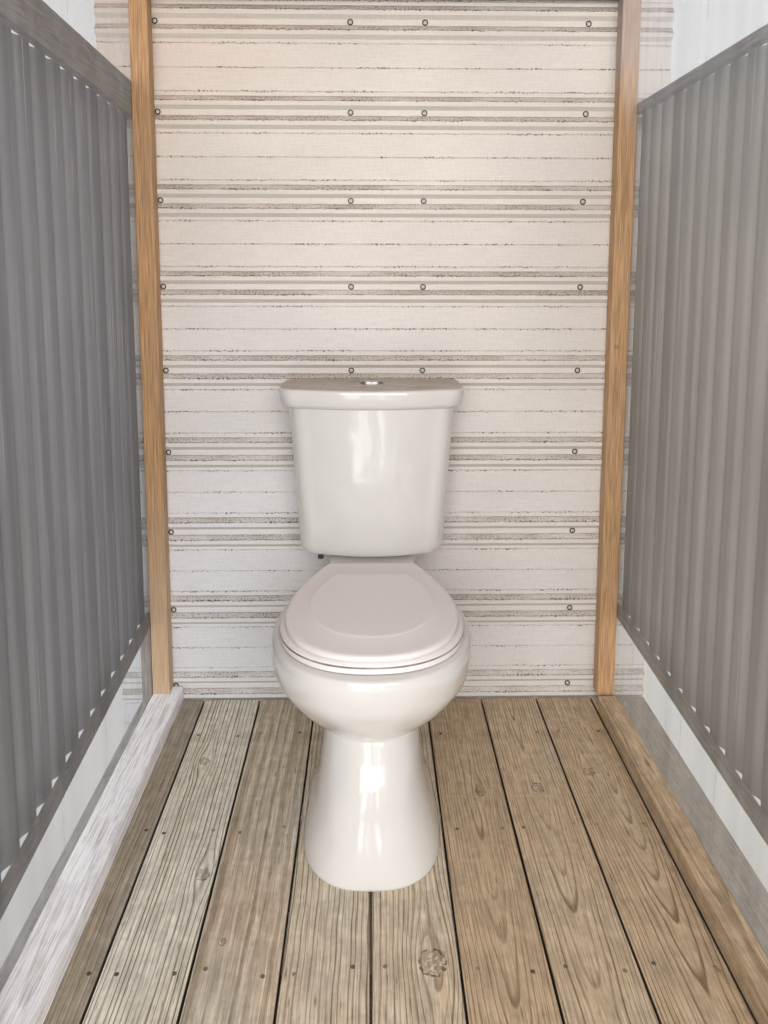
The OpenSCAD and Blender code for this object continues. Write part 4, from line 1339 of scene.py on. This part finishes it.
# Rings of the tank and of its lid: height, back, width, depth, bow of the front, corner
TANK = (
    (448, 26, 308, 132, 16, 40),
    (450, 23, 319, 138, 19, 43),
    (454, 21, 326, 142, 20, 44),
    (468, 18, 334, 148, 22, 46),
    (632, 18, 355, 152, 22, 42),
    (793, 18, 377, 156, 22, 42),
)
TANK_LID = (
    (793, 10, 384, 167.5, 22, 40),
    (798, 10, 404, 172.5, 22, 42),
    (804, 10, 412, 175.5, 22, 43),
    (826, 10, 420, 177.5, 22, 44),
    (833, 10.5, 419, 177, 22, 44),
    (836, 12, 415, 173, 22, 42),
    (838, 16, 407, 165, 22, 38),
)


def seat_outline(z, margin, back, widest, front, half, back_half, count):
    """Outline of the seat or its lid: straight back, flaring to the widest place, round at the nose."""
    quarter = count // 4
    start = back + margin
    wide = back_half - margin
    right = [(wide - SEAT_CORNER, start), (wide - SEAT_CORNER * 0.3, start + SEAT_CORNER * 0.25)]
    for i in range(1, quarter + 1):
        t = i / quarter
        flare = math.sin(math.pi / 2 * t)
        right.append((back_half + (half - back_half) * flare - margin, start + (widest - start) * t))
    for i in range(1, quarter + 1):
        a = math.pi / 2 * i / quarter
        nose = (half - margin) * math.cos(a) ** NOSE if i < quarter else 0.0
        right.append((nose, widest + (front - margin - widest) * math.sin(a) ** NOSE))
    return [at_toilet(x, y, z) for x, y in right + mirrored(right[:-1])]


def mirrored(points):
    """The points on the other side of the middle, in reverse order."""
    return [(-x, y) for x, y in reversed(points)]


def bar(x, radius, width):
    """A round bar across the stall, centred on the hinge's line at a distance from the toilet's middle."""
    work = bmesh.new()
    place = Matrix.Translation(at_toilet(x, HINGE_Y, HINGE_Z)) @ Matrix.Rotation(math.pi / 2, 4, "Y")
    sizes = {"radius1": MM * radius, "radius2": MM * radius, "depth": MM * width}
    bmesh.ops.create_cone(work, cap_ends=True, segments=32, matrix=place, **sizes)
    return as_mesh(work)


def brick(x, half_w, low, high):
    """A block at the hinge's line: its corners are distances towards the front and up from that line."""
    work = bmesh.new()
    size = Matrix.Diagonal((2 * half_w * MM, (high[0] - low[0]) * MM, (high[1] - low[1]) * MM, 1.0))
    middle = at_toilet(x, HINGE_Y + (low[0] + high[0]) / 2, HINGE_Z + (low[1] + high[1]) / 2)
    bmesh.ops.create_cube(work, size=1.0, matrix=Matrix.Translation(middle) @ size)
    return as_mesh(work)


def carved(mesh, steps):
    """Adds and cuts closed shapes, in order, with exact booleans."""
    things = [bpy.data.objects.new("shape", shape) for shape in (mesh, *(shape for _, shape in steps))]
    for thing in things:
        bpy.context.scene.collection.objects.link(thing)
    for (operation, _), helper in zip(steps, things[1:]):
        cut = things[0].modifiers.new("cut", "BOOLEAN")
        cut.operation = operation
        cut.solver = "EXACT"
        cut.object = helper
    bpy.context.view_layer.update()
    made = bpy.data.meshes.new_from_object(things[0].evaluated_get(bpy.context.evaluated_depsgraph_get()))
    for thing in things:
        bpy.data.objects.remove(thing)
    return made


def tank_outline(z, back, width, depth, bow, corner):
    """Ring of the tank: rounded back corners, straight sides and a bowed front."""
    w = width / 2 - corner
    low, high = back + corner, back + depth - corner
    turns = [math.pi / 16 * i for i in range(9)]
    right = [(w + corner * math.sin(a), low - corner * math.cos(a)) for a in turns]
    right += [(w + corner * math.cos(a), high + corner * math.sin(a)) for a in turns]
    front = [(w * t, high + corner + bow * (1 - t * t)) for t in (1 - i / 16 for i in range(1, 32))]
    return [at_toilet(x, y, z) for x, y in right + front + mirrored(right)]


def seat_lid_mesh(count):
    """The lid with its raised panel, its knuckles round the pins and its room for the hinge posts."""
    rings = [seat_outline(LID_UNDER + up, inset, *LID_EDGE, count) for up, inset in LID_ROWS]
    rings += [seat_outline(LID_UNDER + up, inset, *LID_PANEL, count) for up, inset in PANEL_ROWS]
    added, cut = [], []
    for x in (-KNUCKLE_X, KNUCKLE_X):
        added += [bar(x, KNUCKLE_R, KNUCKLE_W), brick(x, KNUCKLE_W / 2 - 0.4, (-5.0, 0.0), (6.5, 4.0))]
        cut.append(bar(x, BORE_R, KNUCKLE_W + 2))
        for post in (x - KNUCKLE_W / 2 - 5, x + KNUCKLE_W / 2 + 5):
            cut.append(brick(post, 5.0, (-15.0, -1.0), (7.0, 7.0)))
    return carved(skin(rings), [("UNION", s) for s in added] + [("DIFFERENCE", s) for s in cut])


def moulded(name, mesh, finish, slot, body, node, angle=35):
    """A smooth piece of the toilet that keeps its edges sharper than the angle."""
    return finished(auto_smooth(new_object(name, mesh, finish), angle), slot, body, node)


def dress(node, finish):
    """Gives a CAD node that shows as it is its material."""
    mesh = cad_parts[node].data
    mesh.materials.clear()
    mesh.materials.append(finish)


class OUTHOUSE_OT_toilet(bpy.types.Operator):
    """Make the glazed bowl, tank and tank lid, the seat and its lid, and their fittings"""

    bl_idname = "outhouse.toilet"
    bl_label = "Toilet"

    def execute(self, context):
        n = context.scene.outhouse_toilet.sides
        glaze, dusty, seat = glaze_material(), dusty_glaze_material(), seat_material()
        rows = eased_rows(BOWL_OUTER, 70) + eased_rows(BOWL_INNER, 36)
        work = bmesh.new()
        for part in (rows, SHELF):
            take_in(work, skin([egg_ring(*row, n) for row in part]))
        moulded("toilet_bowl_glazed", as_mesh(work), glaze, "porcelain", STALL, "toilet_bowl")
        tank, lid = (skin([tank_outline(*ring) for ring in rings]) for rings in (TANK, TANK_LID))
        moulded("toilet_tank_glazed", tank, glaze, "porcelain", STALL, "toilet_tank")
        moulded("tank_lid_glazed", lid, dusty, "porcelain", STALL, "tank_lid", 50)
        outer = [seat_outline(z, inset, *SEAT_EDGE, n) for z, inset in SEAT_ROWS]
        inner = [seat_outline(z, -inset, *SEAT_HOLE, n) for z, inset in SEAT_ROWS[::-1]]
        mesh = skin(outer + inner, closed=True)
        moulded("seat_ring_moulded", mesh, seat, "seat_plastic", STALL, "seat_ring")
        moulded("seat_lid_moulded", seat_lid_mesh(n), seat, "seat_plastic", SEAT_LID, "seat_lid", 40)
        dress("seat_hinges", seat)
        dress("tank_gasket", worn_material("gasket rubber", (0.04, 0.04, 0.04), 0.0, 0.6))
        dress("flush_button", worn_material("chromed button", (0.5, 0.49, 0.48), 1.0, 0.25))
        dress("fill_inlet", worn_material("inlet plastic", (0.07, 0.065, 0.06), 0.0, 0.4))
        return {"FINISHED"}


# The deck's nails: first row from the siding, distance between rows, two places beside a board's middle,
# how far they stray across and along, and radius and height of rim, cup and dot
NAIL_FIRST = 0.152
NAIL_PITCH = 0.3125
NAIL_X = (-0.048, 0.045)
NAIL_STRAY = (0.006, 0.008)
NAIL_SIZES = ((0.0038, 0.0008), (0.0034, 0.0007), (0.0012, 0.0002))


class OUTHOUSE_OT_fasteners(bpy.types.Operator):
    """Set the nails of the deck"""

    bl_idname = "outhouse.fasteners"
    bl_label = "Deck nails"

    def execute(self, context):
        rng = random.Random(context.scene.outhouse_timber.seed)
        low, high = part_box("deck_boards")
        aside, off = NAIL_STRAY
        places = []
        for centre in deck_centres():
            row = WALL_Y - NAIL_FIRST
            while row > low.y + 0.02:
                for offset in NAIL_X:
                    x = centre + offset + rng.uniform(-aside, aside)
                    if abs(x) < high.x - 0.015:
                        places.append(((x, row + rng.uniform(-off, off), DECK_Z - 0.0001), (0, 0, 1)))
                row -= NAIL_PITCH
        tree = bpy.data.node_groups["Fasteners"]
        fasteners("deck_nails", places, "deck_wood", nail_material(), *NAIL_SIZES, tree)
        return {"FINISHED"}


def area_lamp(name, width, height, power, spot, aim):
    """A lamp that the camera doesn't see, turned from its spot to its aim."""
    lamp = bpy.data.lights.new(name, "AREA")
    lamp.shape = "RECTANGLE"
    lamp.size, lamp.size_y = width, height
    lamp.energy = power
    holder = bpy.data.objects.new(name, lamp)
    bpy.context.scene.collection.objects.link(holder)
    way = (Vector(aim) - Vector(spot)).to_track_quat("-Z", "Y")
    holder.matrix_world = Matrix.Translation(spot) @ way.to_matrix().to_4x4()
    holder.visible_camera = False


FLOOR_REACH = 14.0
# Low strips: place across and width; their power is given for a strip of this width
STRIPS = ((-0.5, 0.34), (-0.12, 0.05), (0.24, 0.16))
STRIP_WIDTH = 0.15
# The camera's place in metres, and its pitch below the level, yaw and roll in degrees
CAMERA_AT = (-0.0353, -0.9548, 1.4439)
CAMERA_TURN = (6.9, -1.0, 0.12)
CAMERA_SHIFT = -0.147


class OUTHOUSE_OT_stage(bpy.types.Operator):
    """Lay the floor, set the lamps and the even light, and place the camera"""

    bl_idname = "outhouse.stage"
    bl_label = "Stage"

    def execute(self, context):
        scene = context.scene
        look = scene.outhouse_stage
        floor = bpy.data.meshes.new("floor")
        corners = [(x * FLOOR_REACH, y * FLOOR_REACH, 0) for x, y in ((-1, -1), (1, -1), (1, 1), (-1, 1))]
        floor.from_pydata(corners, [], [(0, 1, 2, 3)])
        paint = Finish("pale floor", specular=0.1).set(Base_Color=look.floor, Roughness=0.9)
        new_object("floor", floor, paint, smooth=False)

        world = bpy.data.worlds.new("Even light")
        world.use_nodes = True
        scene.world = world
        kit = Kit(world.node_tree)
        world.node_tree.nodes.clear()
        path = kit.values(kit.node("ShaderNodeLightPath").outputs)
        seen = kit.most(path["Is Camera Ray"], kit.most(path["Is Glossy Ray"], path["Is Transmission Ray"]))
        light = {"Color": (1.0, 1.0, 1.0), "Strength": kit.span(seen, look.sky, 1.0)}
        kit.fill(kit.node("ShaderNodeOutputWorld"), Surface=kit.made("ShaderNodeBackground", light))

        area_lamp("front lamp", 4.2, 1.8, look.lamp, (0.0, -2.9, 2.1), (0.0, 0.7, 1.1))
        for x, wide in STRIPS:
            power = look.strip * wide / STRIP_WIDTH
            area_lamp("low strip", wide, 1.0, power, (x, -1.9, 0.62), (0.0, 0.7, 0.9))

        camera = bpy.data.cameras.new("camera")
        camera.sensor_fit = "VERTICAL"
        camera.sensor_height = 36.0
        camera.lens = look.lens
        camera.shift_y = CAMERA_SHIFT
        camera.clip_start = 0.01
        eye = bpy.data.objects.new("camera", camera)
        scene.collection.objects.link(eye)
        pitch, yaw, roll = (math.radians(angle) for angle in CAMERA_TURN)
        turn = Matrix.Rotation(yaw, 4, "Z") @ Matrix.Rotation(math.pi / 2 - pitch, 4, "X")
        eye.matrix_world = Matrix.Translation(CAMERA_AT) @ turn @ Matrix.Rotation(roll, 4, "Z")
        scene.camera = eye
        scene.view_settings.view_transform = "Standard"
        return {"FINISHED"}


OPERATORS = (
    OUTHOUSE_OT_effects,
    OUTHOUSE_OT_deck,
    OUTHOUSE_OT_frame,
    OUTHOUSE_OT_siding,
    OUTHOUSE_OT_sheets,
    OUTHOUSE_OT_screens,
    OUTHOUSE_OT_toilet,
    OUTHOUSE_OT_fasteners,
    OUTHOUSE_OT_stage,
)


class OUTHOUSE_PT_panel(bpy.types.Panel):
    """Lists the outhouse's steps in the sidebar"""

    bl_idname = "OUTHOUSE_PT_panel"
    bl_label = "Wooden Outhouse"
    bl_space_type = "VIEW_3D"
    bl_region_type = "UI"
    bl_category = "Outhouse"

    def draw(self, context):
        for operator in OPERATORS:
            self.layout.operator(operator.bl_idname)
        for name, group in PROPERTY_GROUPS.items():
            box = self.layout.box()
            box.label(text=group.__doc__)
            for key in group.__annotations__:
                box.prop(getattr(context.scene, name), key)


def register():
    for group in PROPERTY_GROUPS.values():
        bpy.utils.register_class(group)
    for name, group in PROPERTY_GROUPS.items():
        setattr(bpy.types.Scene, name, PointerProperty(type=group))
    for operator in OPERATORS:
        bpy.utils.register_class(operator)
    bpy.utils.register_class(OUTHOUSE_PT_panel)


def unregister():
    bpy.utils.unregister_class(OUTHOUSE_PT_panel)
    for operator in reversed(OPERATORS):
        bpy.utils.unregister_class(operator)
    for name in PROPERTY_GROUPS:
        delattr(bpy.types.Scene, name)
    for group in reversed(PROPERTY_GROUPS.values()):
        bpy.utils.unregister_class(group)


def main():
    """Makes every piece in order."""
    register()
    for operator in OPERATORS:
        space, name = operator.bl_idname.split(".")
        getattr(getattr(bpy.ops, space), name)()


def plain(box):
    """A box as lists of rounded numbers."""
    return [[round(float(v), 5) for v in corner] for corner in box]


if __name__ == "__main__":
    main()
